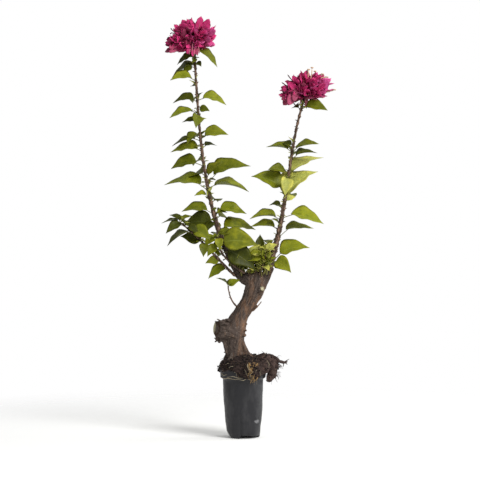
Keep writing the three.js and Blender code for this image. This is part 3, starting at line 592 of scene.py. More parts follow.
class Gathering:
    """Many small bent copies of forms, gathered into one joined mesh."""

    def __init__(self):
        self.points, self.faces, self.maps, self.values = [], [], [], []
        self.count = 0

    def add(self, form, points, value=0.0):
        """Adds a copy. The value is kept on its corners, and so are their share and side."""
        self.points.append(points)
        self.faces += [[i + self.count for i in face] for face in form.faces]
        self.maps.append(np.stack((0.5 + 0.5 * np.sin(form.around) * form.girth, form.share), 1))
        under = (np.cos(form.around) * form.girth < -1e-3).astype(float)
        self.values.append(np.stack((np.full(len(points), value), under), 1))
        self.count += len(points)

    def mesh(self, name):
        made = bpy.data.meshes.new(name)
        made.from_pydata((np.concatenate(self.points) * MM).tolist(), [], self.faces)
        corners = np.zeros(len(made.loops), np.int32)
        made.loops.foreach_get("vertex_index", corners)
        layer = made.uv_layers.new(name="blade")
        layer.uv.foreach_set("vector", np.concatenate(self.maps)[corners].astype(np.float32).ravel())
        values = np.concatenate(self.values)
        for index, title in enumerate(("lot", "underside")):
            attribute = made.attributes.new(title, "FLOAT", "POINT")
            attribute.data.foreach_set("value", values[:, index].astype(np.float32))
        made.shade_smooth()
        return made


def add_form(body, form, points):
    """Adds a bent form to a bmesh, in metres."""
    corners = [body.verts.new(p) for p in (points * MM).tolist()]
    for face in form.faces:
        body.faces.new([corners[i] for i in face])


def add_ball(body, centre, size, subdivisions, lump):
    """Adds a lumpy ball to a bmesh, in metres."""
    made = bmesh.ops.create_icosphere(body, subdivisions=subdivisions, radius=1)["verts"]
    points = np.array([v.co for v in made], float) * size + centre
    points = centre + (points - centre) * (1 + lump * lumpiness(points, 14))[:, None]
    for corner, point in zip(made, points * MM):
        corner.co = point


def skinned(name, body, voxel):
    """One continuous skin over everything in a bmesh, with faces of about the given size."""
    mesh = bpy.data.meshes.new(name)
    body.to_mesh(mesh)
    body.free()
    thing = bpy.data.objects.new(name, mesh)
    bpy.context.collection.objects.link(thing)
    skin = thing.modifiers.new("Skin", "REMESH")
    skin.mode = "VOXEL"
    skin.voxel_size = voxel * MM
    evaluated = thing.evaluated_get(bpy.context.evaluated_depsgraph_get())
    made = bpy.data.meshes.new_from_object(evaluated)
    bpy.data.objects.remove(thing)
    bpy.data.meshes.remove(mesh)
    made.name = name
    return made


def corners_of(mesh):
    points = np.zeros(len(mesh.vertices) * 3)
    mesh.vertices.foreach_get("co", points)
    return points.reshape(-1, 3) / MM


def normals_of(mesh):
    normals = np.zeros(len(mesh.vertices) * 3, np.float32)
    mesh.vertex_normals.foreach_get("vector", normals)
    return normals.reshape(-1, 3).astype(float)


def place_corners(mesh, points):
    mesh.vertices.foreach_set("co", (points * MM).astype(np.float32).ravel())
    mesh.update()


def put_values(mesh, title, values):
    attribute = mesh.attributes.new(title, "FLOAT", "POINT")
    attribute.data.foreach_set("value", values.astype(np.float32))


def show(name, mesh, material, nodes=()):
    """Makes a mesh a piece of the plant, in place of the solid nodes that it stands for."""
    piece = bpy.data.objects.new(name, mesh)
    bpy.context.collection.objects.link(piece)
    mesh.materials.clear()
    mesh.materials.append(material)
    mesh.shade_smooth()
    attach(piece, "root")
    if nodes:
        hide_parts(*nodes)
    return piece


# ------------------------------------------------------------------ finishes


class Finish:
    """A material in the making, with short ways to add its patterns."""

    def __init__(self, name, roughness, specular=0.5):
        self.material = bpy.data.materials.new(name)
        self.material.use_nodes = True
        self.tree = self.material.node_tree
        self.shader = self.tree.nodes["Principled BSDF"]
        self.set("Roughness", roughness)
        self.set("Specular IOR Level", specular)
        self.where = self.node("ShaderNodeTexCoord").outputs["Object"]

    def node(self, kind, **settings):
        made = self.tree.nodes.new(kind)
        for name, value in settings.items():
            setattr(made, name, value)
        return made

    def put(self, socket, value):
        if isinstance(value, bpy.types.NodeSocket):
            self.tree.links.new(value, socket)
        elif hasattr(value, "__len__"):
            values = tuple(value)
            socket.default_value = values if len(socket.default_value) == len(values) else (*values, 1)
        else:
            socket.default_value = value

    def set(self, socket, value):
        self.put(self.shader.inputs[socket], value)

    def stretched(self, scale, turn=(0, 0, 0)):
        mapping = self.node("ShaderNodeMapping")
        self.put(mapping.inputs["Vector"], self.where)
        self.put(mapping.inputs["Scale"], scale)
        self.put(mapping.inputs["Rotation"], turn)
        return mapping.outputs["Vector"]

    def noise(self, length, detail=3.0, roughness=0.5, where=None):
        """Noise from 0 to 1 whose spots are about the given length in millimetres."""
        made = self.node("ShaderNodeTexNoise")
        self.put(made.inputs["Vector"], where or self.where)
        self.put(made.inputs["Scale"], 1 / (length * MM))
        self.put(made.inputs["Detail"], detail)
        self.put(made.inputs["Roughness"], roughness)
        return made.outputs["Fac"]

    def axes(self, vector=None):
        """The X, Y and Z of a vector, or of the place on the object."""
        parts = self.node("ShaderNodeSeparateXYZ")
        self.put(parts.inputs[0], vector or self.where)
        return parts.outputs

    def attribute(self, title):
        return self.node("ShaderNodeAttribute", attribute_name=title).outputs["Fac"]

    def between(self, value, low, high, start=0.0, end=1.0):
        """The value's place between low and high, as a share from start to end."""
        made = self.node("ShaderNodeMapRange", clamp=True)
        for index, number in enumerate((value, low, high, start, end)):
            self.put(made.inputs[index], number)
        return made.outputs["Result"]

    def math(self, operation, *values):
        made = self.node("ShaderNodeMath", operation=operation)
        for index, value in enumerate(values):
            self.put(made.inputs[index], value)
        return made.outputs[0]

    def mixed(self, share, first, second):
        made = self.node("ShaderNodeMix", data_type="RGBA")
        for index, value in ((0, share), (6, first), (7, second)):
            self.put(made.inputs[index], value)
        return made.outputs[2]

    def bump(self, height, depth, strength=1.0):
        """Raises the surface by a pattern, its depth in millimetres."""
        made = self.node("ShaderNodeBump")
        self.put(made.inputs["Strength"], strength)
        self.put(made.inputs["Distance"], depth * MM)
        self.put(made.inputs["Height"], height)
        self.set("Normal", made.outputs["Normal"])


def darker(colour, share):
    return tuple(c * share for c in colour)


def plastic_finish(settings):
    finish = Finish("Pot plastic", settings.roughness, 0.4)
    smear = finish.stretched((1, 1, 0.35))
    dusty = finish.between(finish.noise(16, 5, 0.6, smear), 0.5, 0.78, 0, 0.5)
    place = finish.axes()
    squares = []
    # A pale patch on the front crease: a painted highlight, the glint of the light on the crease.
    for axis, middle, reach in zip("XZ", PAINTED_GLINT["middle"], PAINTED_GLINT["reach"]):
        off = finish.math("DIVIDE", finish.math("SUBTRACT", place[axis], middle * MM), reach * MM)
        squares.append(finish.math("MULTIPLY", off, off))
    ring = finish.math("ADD", *squares)
    ragged = finish.math("ADD", ring, finish.between(finish.noise(3, 2), 0.3, 0.7, -0.5, 0.9))
    on_front = finish.between(place["Y"], -0.02, 0.0, 1, 0)
    painted_glint = finish.math("MULTIPLY", finish.between(ragged, 0.0, 1.8, PAINTED_GLINT["strength"], 0), on_front)
    dull = finish.mixed(dusty, settings.plastic, settings.dust)
    finish.set("Base Color", finish.mixed(painted_glint, dull, PAINTED_GLINT["colour"]))
    grain = finish.noise(1.3, 2)
    finish.set("Roughness", finish.between(finish.noise(9, 3), 0.3, 0.7, 0.34, 0.56))
    finish.bump(finish.math("ADD", grain, finish.math("MULTIPLY", finish.noise(7, 2, 0.4), 4)), 0.12)
    return finish.material


def soil_finish(settings):
    finish = Finish("Soil", 0.93, 0.15)
    # The soil is lighter towards the right: painted light, as the light falls from the right.
    soil_lit_side = finish.between(finish.axes()["X"], 0.02, 0.06, -0.04, 0.22)
    clump = finish.between(finish.math("ADD", finish.noise(5, 4, 0.7), soil_lit_side), 0.4, 0.7)
    brown = finish.mixed(clump, darker(settings.soil, 0.6), settings.root)
    pale = finish.between(finish.noise(1.6, 2), 0.66, 0.74, 0, 0.5)
    finish.set("Base Color", finish.mixed(pale, brown, settings.fresh_root))
    finish.bump(finish.noise(1.8, 5, 0.7), 1.2)
    return finish.material


def root_finish(name, colour):
    finish = Finish(name, 0.8, 0.2)
    patch = finish.between(finish.noise(6, 3), 0.35, 0.7)
    finish.set("Base Color", finish.mixed(patch, darker(colour, 0.55), tuple(colour)))
    finish.bump(finish.noise(1, 3), 0.3)
    return finish.material


def bark_finish(settings):
    finish = Finish("Bark", 0.88, 0.2)
    side = finish.axes()
    streaks = finish.stretched((1, 1, 0.22), (0, 0.16, 0))
    patch = finish.noise(9, 4, 0.62, streaks)
    # The trunk's right side is made warmer and lighter: painted light, as the light falls from the
    # right.
    bark_lit_side = finish.between(side["X"], -0.03, 0.02, -0.2, 0.08)
    height = finish.between(side["Z"], 0.24, 0.32, 0, -0.16)
    place = finish.math("ADD", bark_lit_side, height)
    warmth = finish.between(finish.math("ADD", patch, place), 0.4, 0.72)
    brown = finish.mixed(warmth, settings.weathered, settings.warm)
    ash = finish.between(finish.noise(3.5, 3, 0.6), 0.6, 0.76, 0, 0.5)
    greyed = finish.mixed(ash, brown, (0.33, 0.3, 0.26))
    speck = finish.between(finish.noise(1.5, 2), 0.66, 0.72, 0, 0.55)
    specked = finish.mixed(speck, greyed, (0.5, 0.38, 0.25))
    # The cracks are darkened towards the crack colour: painted shade in the bark's grooves.
    crack_shade = finish.math("MULTIPLY", finish.attribute("crack"), 0.72)
    finish.set("Base Color", finish.mixed(crack_shade, specked, settings.crack))
    finish.bump(finish.noise(1.7, 4, 0.65, finish.stretched((1, 1, 0.3), (0, 0.16, 0))), 0.9)
    return finish.material


def shoot_finish(settings):
    finish = Finish("Shoot bark", 0.72, 0.3)
    streak = finish.noise(3, 4, 0.6, finish.stretched((1, 1, 0.3)))
    tan = finish.between(streak, 0.44, 0.7)
    finish.set("Base Color", finish.mixed(tan, darker(settings.shoot, 0.3), paint("8a6d5a")))
    finish.bump(finish.noise(1.2, 3, 0.6, finish.stretched((1, 1, 0.4))), 0.5)
    return finish.material


def wood_finish(settings):
    finish = Finish("Cut wood", 0.8, 0.2)
    grain = finish.between(finish.noise(1.5, 3), 0.4, 0.66)
    pale = finish.mixed(grain, darker(settings.wood, 0.62), tuple(settings.wood))
    rotten = finish.mixed(finish.noise(4, 3), settings.crack, darker(settings.warm, 0.35))
    finish.set("Base Color", finish.mixed(finish.attribute("crack"), pale, rotten))
    finish.bump(finish.noise(1.1, 3), 0.5)
    return finish.material


def blade_pattern(finish, lean, count):
    """How far off its rib and up its length each place of a blade is, and its side veins' wave."""
    place = finish.axes(finish.node("ShaderNodeUVMap", uv_map="blade").outputs["UV"])
    off_rib = finish.math("ABSOLUTE", finish.math("SUBTRACT", place["X"], 0.5))
    slant = finish.math("SUBTRACT", place["Y"], finish.math("MULTIPLY", off_rib, lean))
    wave = finish.math("ABSOLUTE", finish.math("SINE", finish.math("MULTIPLY", slant, count)))
    return off_rib, place["Y"], wave


def lighter(colour, factor, lift):
    return tuple(min(1, c * factor + lift) for c in colour)


def leaf_finish(name, colour):
    """Leaf skin: paler below, with a midrib and side veins drawn along the blade's own map, painted
    shade in patches, and painted sunlight in yellow spots and towards the margins.
    """
    finish = Finish(name, 0.45, 0.14)
    off_rib, _, wave = blade_pattern(finish, 0.42, 26)
    vein = finish.between(wave, 0.0, 0.16, 1, 0)
    rib = finish.between(off_rib, 0.0, 0.035, 1, 0)
    veins = finish.math("MAXIMUM", rib, finish.math("MULTIPLY", vein, 0.45))
    toned = finish.mixed(finish.attribute("lot"), darker(colour, 0.68), darker(colour, 1.2))
    # Darker noise patches: painted shade on the blade.
    shade = finish.between(finish.noise(7, 3), 0.5, 0.3, 0, 0.55)
    shadowed = finish.mixed(shade, toned, darker(colour, 0.5))
    # Yellower spots and a lighter margin: painted sunlight on the blade.
    sunny = tuple(min(1, c * f) for c, f in zip(colour, (1.75, 1.5, 1.05)))
    lit_margin = finish.math("MULTIPLY", finish.between(off_rib, 0.2, 0.5), 0.3)
    bright = finish.math("ADD", finish.between(finish.noise(10, 3), 0.46, 0.7, 0, 0.5), lit_margin)
    sun_and_shade = finish.mixed(bright, shadowed, sunny)
    veined = finish.mixed(finish.math("MULTIPLY", veins, 0.4), sun_and_shade, lighter(colour, 1.5, 0.04))
    below = tuple(0.75 * c + 0.25 * p for c, p in zip(colour, (0.26, 0.3, 0.09)))
    finish.set("Base Color", finish.mixed(finish.attribute("underside"), veined, below))
    swell = finish.math("ADD", finish.math("MULTIPLY", veins, -0.7), finish.noise(4, 2))
    finish.bump(swell, 0.5)
    return finish.material


def bract_finish(name, colour):
    """Papery bract skin, with fine forked veins and a paler foot."""
    finish = Finish(name, 0.62, 0.25)
    off_rib, along, wave = blade_pattern(finish, 0.6, 20)
    rib, side_veins = finish.between(off_rib, 0, 0.04, 1, 0), finish.between(wave, 0, 0.2, 0.6, 0)
    veins = finish.math("MAXIMUM", rib, side_veins)
    toned = finish.mixed(finish.attribute("lot"), darker(colour, 0.62), lighter(colour, 1.2, 0.01))
    veined = finish.mixed(finish.math("MULTIPLY", veins, 0.25), toned, darker(colour, 0.5))
    foot = finish.between(along, 0.0, 0.3, 0.55, 0)
    finish.set("Base Color", finish.mixed(foot, veined, paint("9a4a5c")))
    finish.bump(finish.math("ADD", finish.math("MULTIPLY", veins, -0.6), finish.noise(3, 3)), 0.6)
    return finish.material


def plain_finish(name, colour, roughness):
    """A finish for thin trim, lightly mottled."""
    finish = Finish(name, roughness, 0.3)
    spots = finish.between(finish.noise(4, 2), 0.35, 0.7)
    finish.set("Base Color", finish.mixed(spots, darker(colour, 0.7), tuple(colour)))
    return finish.material


# ------------------------------------------------------------------ pot


def squaring(angles):
    power = POT["squareness"]
    return (np.abs(np.cos(angles)) ** power + np.abs(np.sin(angles)) ** power) ** (-1 / power)


def pot_outline():
    """The pot's outer radius at chosen heights, from the foot up to the rim."""
    shoulder = POT["height"] - POT["collar_height"]
    foot, rounding, collar = POT["foot_radius"], POT["foot_rounding"], POT["collar_radius"]
    return (
        (foot - rounding, 0),
        (foot - 0.55 * rounding, 0.9),
        (foot - 0.25 * rounding, 3.5),
        (foot, POT["foot_height"]),
        POT["knee"],
        POT["belly"],
        (POT["mouth_radius"], shoulder - POT["collar_step"]),
        (collar - POT["collar_flare"], shoulder - 0.4),
        (collar - POT["collar_flare"] + 0.5, shoulder + 0.7),
        (collar - 0.7, POT["height"] - 2.2),
        (collar + 0.5, POT["height"] - 1.5),
        (collar + 0.5, POT["height"] - 0.5),
        (collar, POT["height"]),
    )


def fine_rings(outline, step):
    """The outline's points with more set between them, no further apart than the step."""
    rings = [outline[0]]
    for (r0, z0), (r1, z1) in zip(outline, outline[1:]):
        pieces = max(1, math.ceil(math.hypot(r1 - r0, z1 - z0) / step))
        for i in range(1, pieces + 1):
            rings.append((r0 + (r1 - r0) * i / pieces, z0 + (z1 - z0) * i / pieces))
    return rings


def dome(across, up, middle, reach):
    """A soft swelling that is 1 at its middle and fades over its reach."""
    return np.exp(-(((across - middle[0]) / reach[0]) ** 2) - ((up - middle[1]) / reach[1]) ** 2)


def crumpled(points, crumple):
    """Pushes the soft wall in and out, pleats its front and crushes the foot's right corner."""
    x, y, z = points.T
    outward = unit(np.stack((x, y, np.zeros_like(z)), 1))
    push = crumple * (rough(points, 34, 2) + 0.5 * rough(points, 13, 2)) * np.clip(z / 18, 0.35, 1)
    front = np.clip(-y / 20, 0, 1)
    pleat = np.exp(-(((x - DENT["seam"]) / 1.7) ** 2)) * np.clip((66 - z) / 30, 0, 1)
    shoulder = np.exp(-(((x - DENT["seam"] - 6) / 5) ** 2)) * np.clip((70 - z) / 30, 0, 1)
    dimple = dome(x, z, (27, 34), (5, 8))
    hollow = dome(x, z, (14, 56), (14, 26))
    crease = dome(x - 27 + 0.4 * (z - 36), z, (0, 36), (2, 7))
    push += front * (0.9 * shoulder + 1.7 * crease - 1.9 * pleat - 1.6 * dimple - 1.4 * hollow)
    points = points + outward * push[:, None]
    points[:, 0] += 1.3 * np.clip(1 - z / 110, 0, 1)
    corner = np.clip(-x / 30, 0, 1) ** 2 * np.clip(1 - z / 15, 0, 1) ** 1.5
    points[:, 0] += 5.5 * corner
    share = np.clip((x - DENT["seam"]) / (POT["foot_radius"] - DENT["seam"]), 0, 1)
    lifted = DENT["high_side"] + (DENT["low_side"] - DENT["high_side"]) * share
    height = DENT["height"]
    crushed = (x > DENT["seam"] - 0.3) & (y < DENT["back"]) & (z < height)
    raised = lifted + z * (height - lifted) / height
    points[:, 2] = np.where(crushed, raised, points[:, 2])
    return points


class PLANT_OT_pot(bpy.types.Operator):
    """Make the soft plastic pot with its stepped collar, pleat and crushed foot"""

    bl_idname = "plant.make_pot"
    bl_label = "Make Pot"

    def execute(self, context):
        settings = context.scene.potted_plant.pot
        outer = fine_rings(pot_outline(), 2.6)
        wall = POT["wall"]
        inner = [(max(r - wall, 1), max(z, wall)) for r, z in reversed(pot_outline()[:-3])]
        shell = bmesh.new()
        ring = bmesh.ops.create_circle(shell, segments=120, radius=1)["verts"]
        base = bmesh.ops.contextual_create(shell, geom=ring)["faces"]
        edges = list({e for v in ring for e in v.link_edges})
        for radius, height in outer + inner:
            if (radius, height) != outer[0]:
                grown = bmesh.ops.extrude_edge_only(shell, edges=edges)["geom"]
                ring = [g for g in grown if isinstance(g, bmesh.types.BMVert)]
                edges = [g for g in grown if isinstance(g, bmesh.types.BMEdge)]
                rim = set(ring)
                edges = [e for e in edges if all(v in rim for v in e.verts)]
            angles = np.array([math.atan2(v.co.y, v.co.x) for v in ring])
            reach = radius * squaring(angles)
            for corner, angle, far in zip(ring, angles, reach):
                corner.co = (math.cos(angle) * far, math.sin(angle) * far, height)
        bmesh.ops.contextual_create(shell, geom=edges)
        for face in base:
            bmesh.ops.inset_region(shell, faces=[face], thickness=3)
        bmesh.ops.recalc_face_normals(shell, faces=shell.faces[:])
        points = crumpled(np.array([v.co for v in shell.verts], float), settings.crumple / MM)
        for corner, point in zip(shell.verts, points * MM):
            corner.co = point
        mesh = bpy.data.meshes.new("pot_shell")
        shell.to_mesh(mesh)
        shell.free()
        show("pot_shell", mesh, plastic_finish(settings), ["pot"])
        return {"FINISHED"}


# ------------------------------------------------------------------ soil and roots


def clear_of_pot(points):
    """Lifts points that would sink into the collar's wall to just outside it."""
    x, y, z = points.T
    angles = np.arctan2(y, x)
    reach = np.hypot(x, y)
    collar = (POT["collar_radius"] + 1.2) * squaring(angles)
    low = (z < POT["height"] + 0.5) & (reach > collar - 9) & (reach < collar)
    factor = np.where(low, collar / np.maximum(reach, 1), 1)
    return points * np.stack((factor, factor, np.ones_like(z)), 1)


def crept(tree, start, direction, steps, step, lots, sag, lift=0.4):
    """A path that creeps over the soil's surface from a place, in millimetres."""
    places = [np.array(start, float)]
    direction = unit(np.array(direction, float))
    for _ in range(steps):
        wander = np.array((lots() - 0.5, lots() - 0.5, lots() - 0.5 - sag))
        direction = unit(direction + 1.1 * wander)
        ahead = places[-1] + direction * step
        found, normal, _, far = tree.find_nearest(Vector(ahead * MM))
        if found is not None and far < 5 * MM:
            ahead = (np.array(found) + np.array(normal) * lift * MM) / MM
        places.append(ahead)
    return places


class PLANT_OT_root_ball(bpy.types.Operator):
    """Make the spilling soil with its matted, hanging and broken roots"""

    bl_idname = "plant.make_root_ball"
    bl_label = "Make Root Ball"

    def execute(self, context):
        settings = context.scene.potted_plant.soil
        lots = Lots(7)
        rim = POT["collar_radius"] - 2
        body = bmesh.new()
        add_ball(body, np.array((0, 0, POT["height"] + 1)), np.array((rim, rim - 1, 23)), 5, 0.13)
        for centre, size in CLODS:
            add_ball(body, np.array(centre, float), np.array(size, float), 4, 0.2)
        mesh = skinned("soil", body, 1.3)
        points, normals = corners_of(mesh), normals_of(mesh)
        inside = np.hypot(points[:, 0], points[:, 1]) < POT["mouth_radius"]
        hidden = inside & (points[:, 2] < POT["height"] - 4)
        swell = 0.9 * rough(points, 8, 4) + 0.6 * np.abs(rough(points, 3.2, 3))
        points += normals * (np.where(hidden, 0, swell) * settings.clod / MM)[:, None]
        place_corners(mesh, clear_of_pot(points))
        show("soil", mesh, soil_finish(settings), ["root_ball"])
        tree = BVHTree.FromPolygons([v.co for v in mesh.vertices], [p.vertices for p in mesh.polygons])
        points, normals = corners_of(mesh), normals_of(mesh)

        crumb_form, thread = Form(6, 4), Form(4, 12)
        crumbs, dark, tan, pale = Gathering(), Gathering(), Gathering(), Gathering()
        shown = np.nonzero((points[:, 2] > POT["height"] - 30) & (normals[:, 2] > -0.8) & ~hidden)[0]
        for _ in range(CRUMBS):
            at = shown[int(lots() * len(shown))]
            size = lots.between(0.7, 2.3)
            centre = points[at] + normals[at] * 0.3 * size
            end = centre + heading(lots() * 360, lots.between(-40, 40)) * 2 * size
            rounded = round_section(lambda s, r=size: r * np.sin(np.pi * np.clip(s, 0, 1)) ** 0.7)
            up = heading(lots() * 360, 5)
            crumbs.add(crumb_form, crumb_form.bent(bezier(centre, end), up, rounded), lots())
        for index in range(settings.fibres):
            at = shown[int(lots() * len(shown))]
            steps = 4 + int(lots() * 5)
            way = heading(lots() * 360, lots.between(-50, 30))
            path = crept(tree, points[at], way, steps, lots.between(2, 4.4), lots, 0.18)
            if lots() < 0.35:
                free = unit(normals[at] + 0.7 * way + np.array((0, 0, -0.3)))
                path = [points[at], points[at] + 4 * free]
                path += [path[-1] + lots.between(3, 8) * unit(free + np.array((0, 0, -0.6)))]
            thin = thinning(lots.between(0.22, 0.62), 1.1, 0.8)
            up = np.array((0.3, 0.5, 0.81))
            group = pale if index % 11 == 0 else dark
            group.add(thread, thread.bent(through(path), up, thin), lots())

        for _ in range(TUFT_ROOTS):
            start = np.array((lots.between(54, 66), lots.between(-16, 2), lots.between(122, 160)))
            way = heading(lots.between(-70, 60), lots.between(-70, 40))
            path = [start, start + way * lots.between(5, 10)]
            for _ in range(3):
                way = unit(way + 0.9 * np.array((lots() - 0.5, lots() - 0.5, lots() - 0.75)))
                path.append(path[-1] + way * lots.between(2.5, 5))
            thin = thinning(lots.between(0.25, 0.8), 1.15, 0.95)
            up = np.array((0.2, 0.9, 0.4))
            dark.add(thread, thread.bent(through(path), up, thin), lots())

        rim = POT["collar_radius"] + 1.6
        for index in range(HANGING_ROOTS):
            x, level = lots.between(8, 31), lots.between(124, 156)
            foot = max(lots.between(104, 130), level - 30)
            way = np.array((lots.between(-0.8, 0.8), 0, -1))
            path = []
            while level > foot:
                reach = -math.sqrt(max(rim**2 - x * x, 400)) - 8 + 0.1 * (156 - level)
                path.append((x, reach + lots.between(-2, 2), level))
                way = unit(way + np.array((1.5 * (lots() - 0.5) + 0.05 * (20 - x), 0, -0.35)))
                x, level = x + 6 * way[0], level + min(6 * way[2], -1.2)
            if len(path) < 2:
                continue
            thin = thinning(lots.between(0.2, 0.55), 1.1, 0.7)
            group = (tan, pale, tan, dark)[index % 4]
            group.add(thread, thread.bent(through(path), np.array((0.9, 0.3, 0.1)), thin), lots())
        for level, start, end in COLLAR_ROOTS:
            bearings = np.linspace(start, end, 8)
            spread = (POT["collar_radius"] - 1.2 + 0.08 * (level - 120)) * squaring(bearings * DEG)
            path = [
                (math.cos(b * DEG) * r, math.sin(b * DEG) * r, level + lots.between(-2, 2))
                for b, r in zip(bearings, spread)
            ]
            thin = round_section(lambda s: 0.65 * (1.1 - 0.7 * np.abs(2 * s - 1)))
            pale.add(thread, thread.bent(through(path), np.array((0, 0, 1)), thin), lots())

        thick = Form(12, 26)
        knotty = round_section(
            lambda s: (4.4 - 2.3 * s) * (1 + 0.1 * np.sin(17 * s) + 0.07 * np.sin(41 * s))
        )
        dark.add(thick, thick.bent(bezier(*BROKEN_ROOT), FRONT, knotty), 0.7)
        for end, radius in ROOT_FORKS:
            fork = through(((74, -9, 153), (81, -10, 151), end))
            dark.add(thread, thread.bent(fork, FRONT, thinning(radius, 1.2, 0.8)), 0.6)

        for name, group, title, colour in (
            ("soil_crumbs", crumbs, "Crumbs", settings.soil),
            ("dark_roots", dark, "Dark roots", settings.root),
            ("fresh_roots", tan, "Fresh roots", settings.fresh_root),
            ("dry_roots", pale, "Dry roots", paint("a89c84")),
        ):
            show(name, group.mesh(name), root_finish(title, colour))
        return {"FINISHED"}


# ------------------------------------------------------------------ trunk, boughs and shoots


def along_stops(stops, shares):
    places, radii = np.array(stops, float).T
    nexts = np.clip(np.searchsorted(places, shares), 1, len(places) - 1)
    t = np.clip((shares - places[nexts - 1]) / (places[nexts] - places[nexts - 1]), 0, 1)
    return radii[nexts - 1] + (radii[nexts] - radii[nexts - 1]) * t * t * (3 - 2 * t)


def blunt(radius_at, length):
    """A radius rule that keeps its full girth close to both ends of a limb."""

    def radius(share):
        opening = np.clip(share * length, 0, 1) ** 0.5
        return radius_at(share) * opening * np.clip((1 - share) * length, 0, 1) ** 0.5

    return radius


def flared(wide, narrow):
    """The girth of a cut limb, with a low swelling of callus behind the cut."""
    return lambda s: wide + (narrow - wide) * s + 0.08 * narrow * np.exp(-(((s - 0.9) / 0.09) ** 2))


def rotten(stump, out, spots):
    """How rotten a cut is at each spot: the big limb's heart and near side, the stub's rim."""
    if stump is SAWN_LIMB:
        return np.maximum((0.74 - out) / 0.2, 0) + 1.6 * np.clip((4 - spots[:, 1]) / 5, 0, 1)
    return (out - 0.9) / 0.1


def bark_relief(points, normals, axes, depth):
    """The bark's relief and how deep each place lies in a crack, along the nearest limb."""
    samples, runs, lines = [], [], []
    for index, axis in enumerate(axes):
        places, tangents = axis(np.linspace(0, 1, 90))
        run = np.concatenate(([0], np.cumsum(np.linalg.norm(np.diff(places, axis=0), axis=1))))
        samples.append(places)
        runs.append(run + 400 * index)
        lines.append(tangents)
    samples, runs, lines = np.vstack(samples), np.concatenate(runs), np.vstack(lines)
    nearest = np.empty(len(points), int)
    for start in range(0, len(points), 4000):
        gaps = points[start : start + 4000, None, :] - samples[None]
        nearest[start : start + 4000] = np.argmin((gaps**2).sum(2), 1)
    away = points - samples[nearest]
    tangent = lines[nearest]
    across = unit(np.cross(tangent, FRONT))
    lift = np.cross(across, tangent)
    girth = np.maximum(np.linalg.norm(away, axis=1), 6)
    side = (away * across).sum(1) / girth
    height = (away * lift).sum(1) / girth
    turn = runs[nearest] / 46
    wide = np.stack((side * 5.2, height * 5.2, turn), 1)
    fine = np.stack((side * 11, height * 11, turn * 2.3 + 7), 1)
    furrow = 1 - np.abs(rough(wide, 1, 2)) * 2.4
    cleft = 1 - np.abs(rough(fine, 1, 2)) * 2.2
    crack = np.clip((np.maximum(furrow, 0.8 * cleft) - 0.55) / 0.45, 0, 1) ** 1.4
    knobs = 0.55 * rough(points, 11, 2) + 0.3 * rough(points, 4, 2)
    return depth * (0.75 * knobs - 0.8 * crack - 0.1), crack


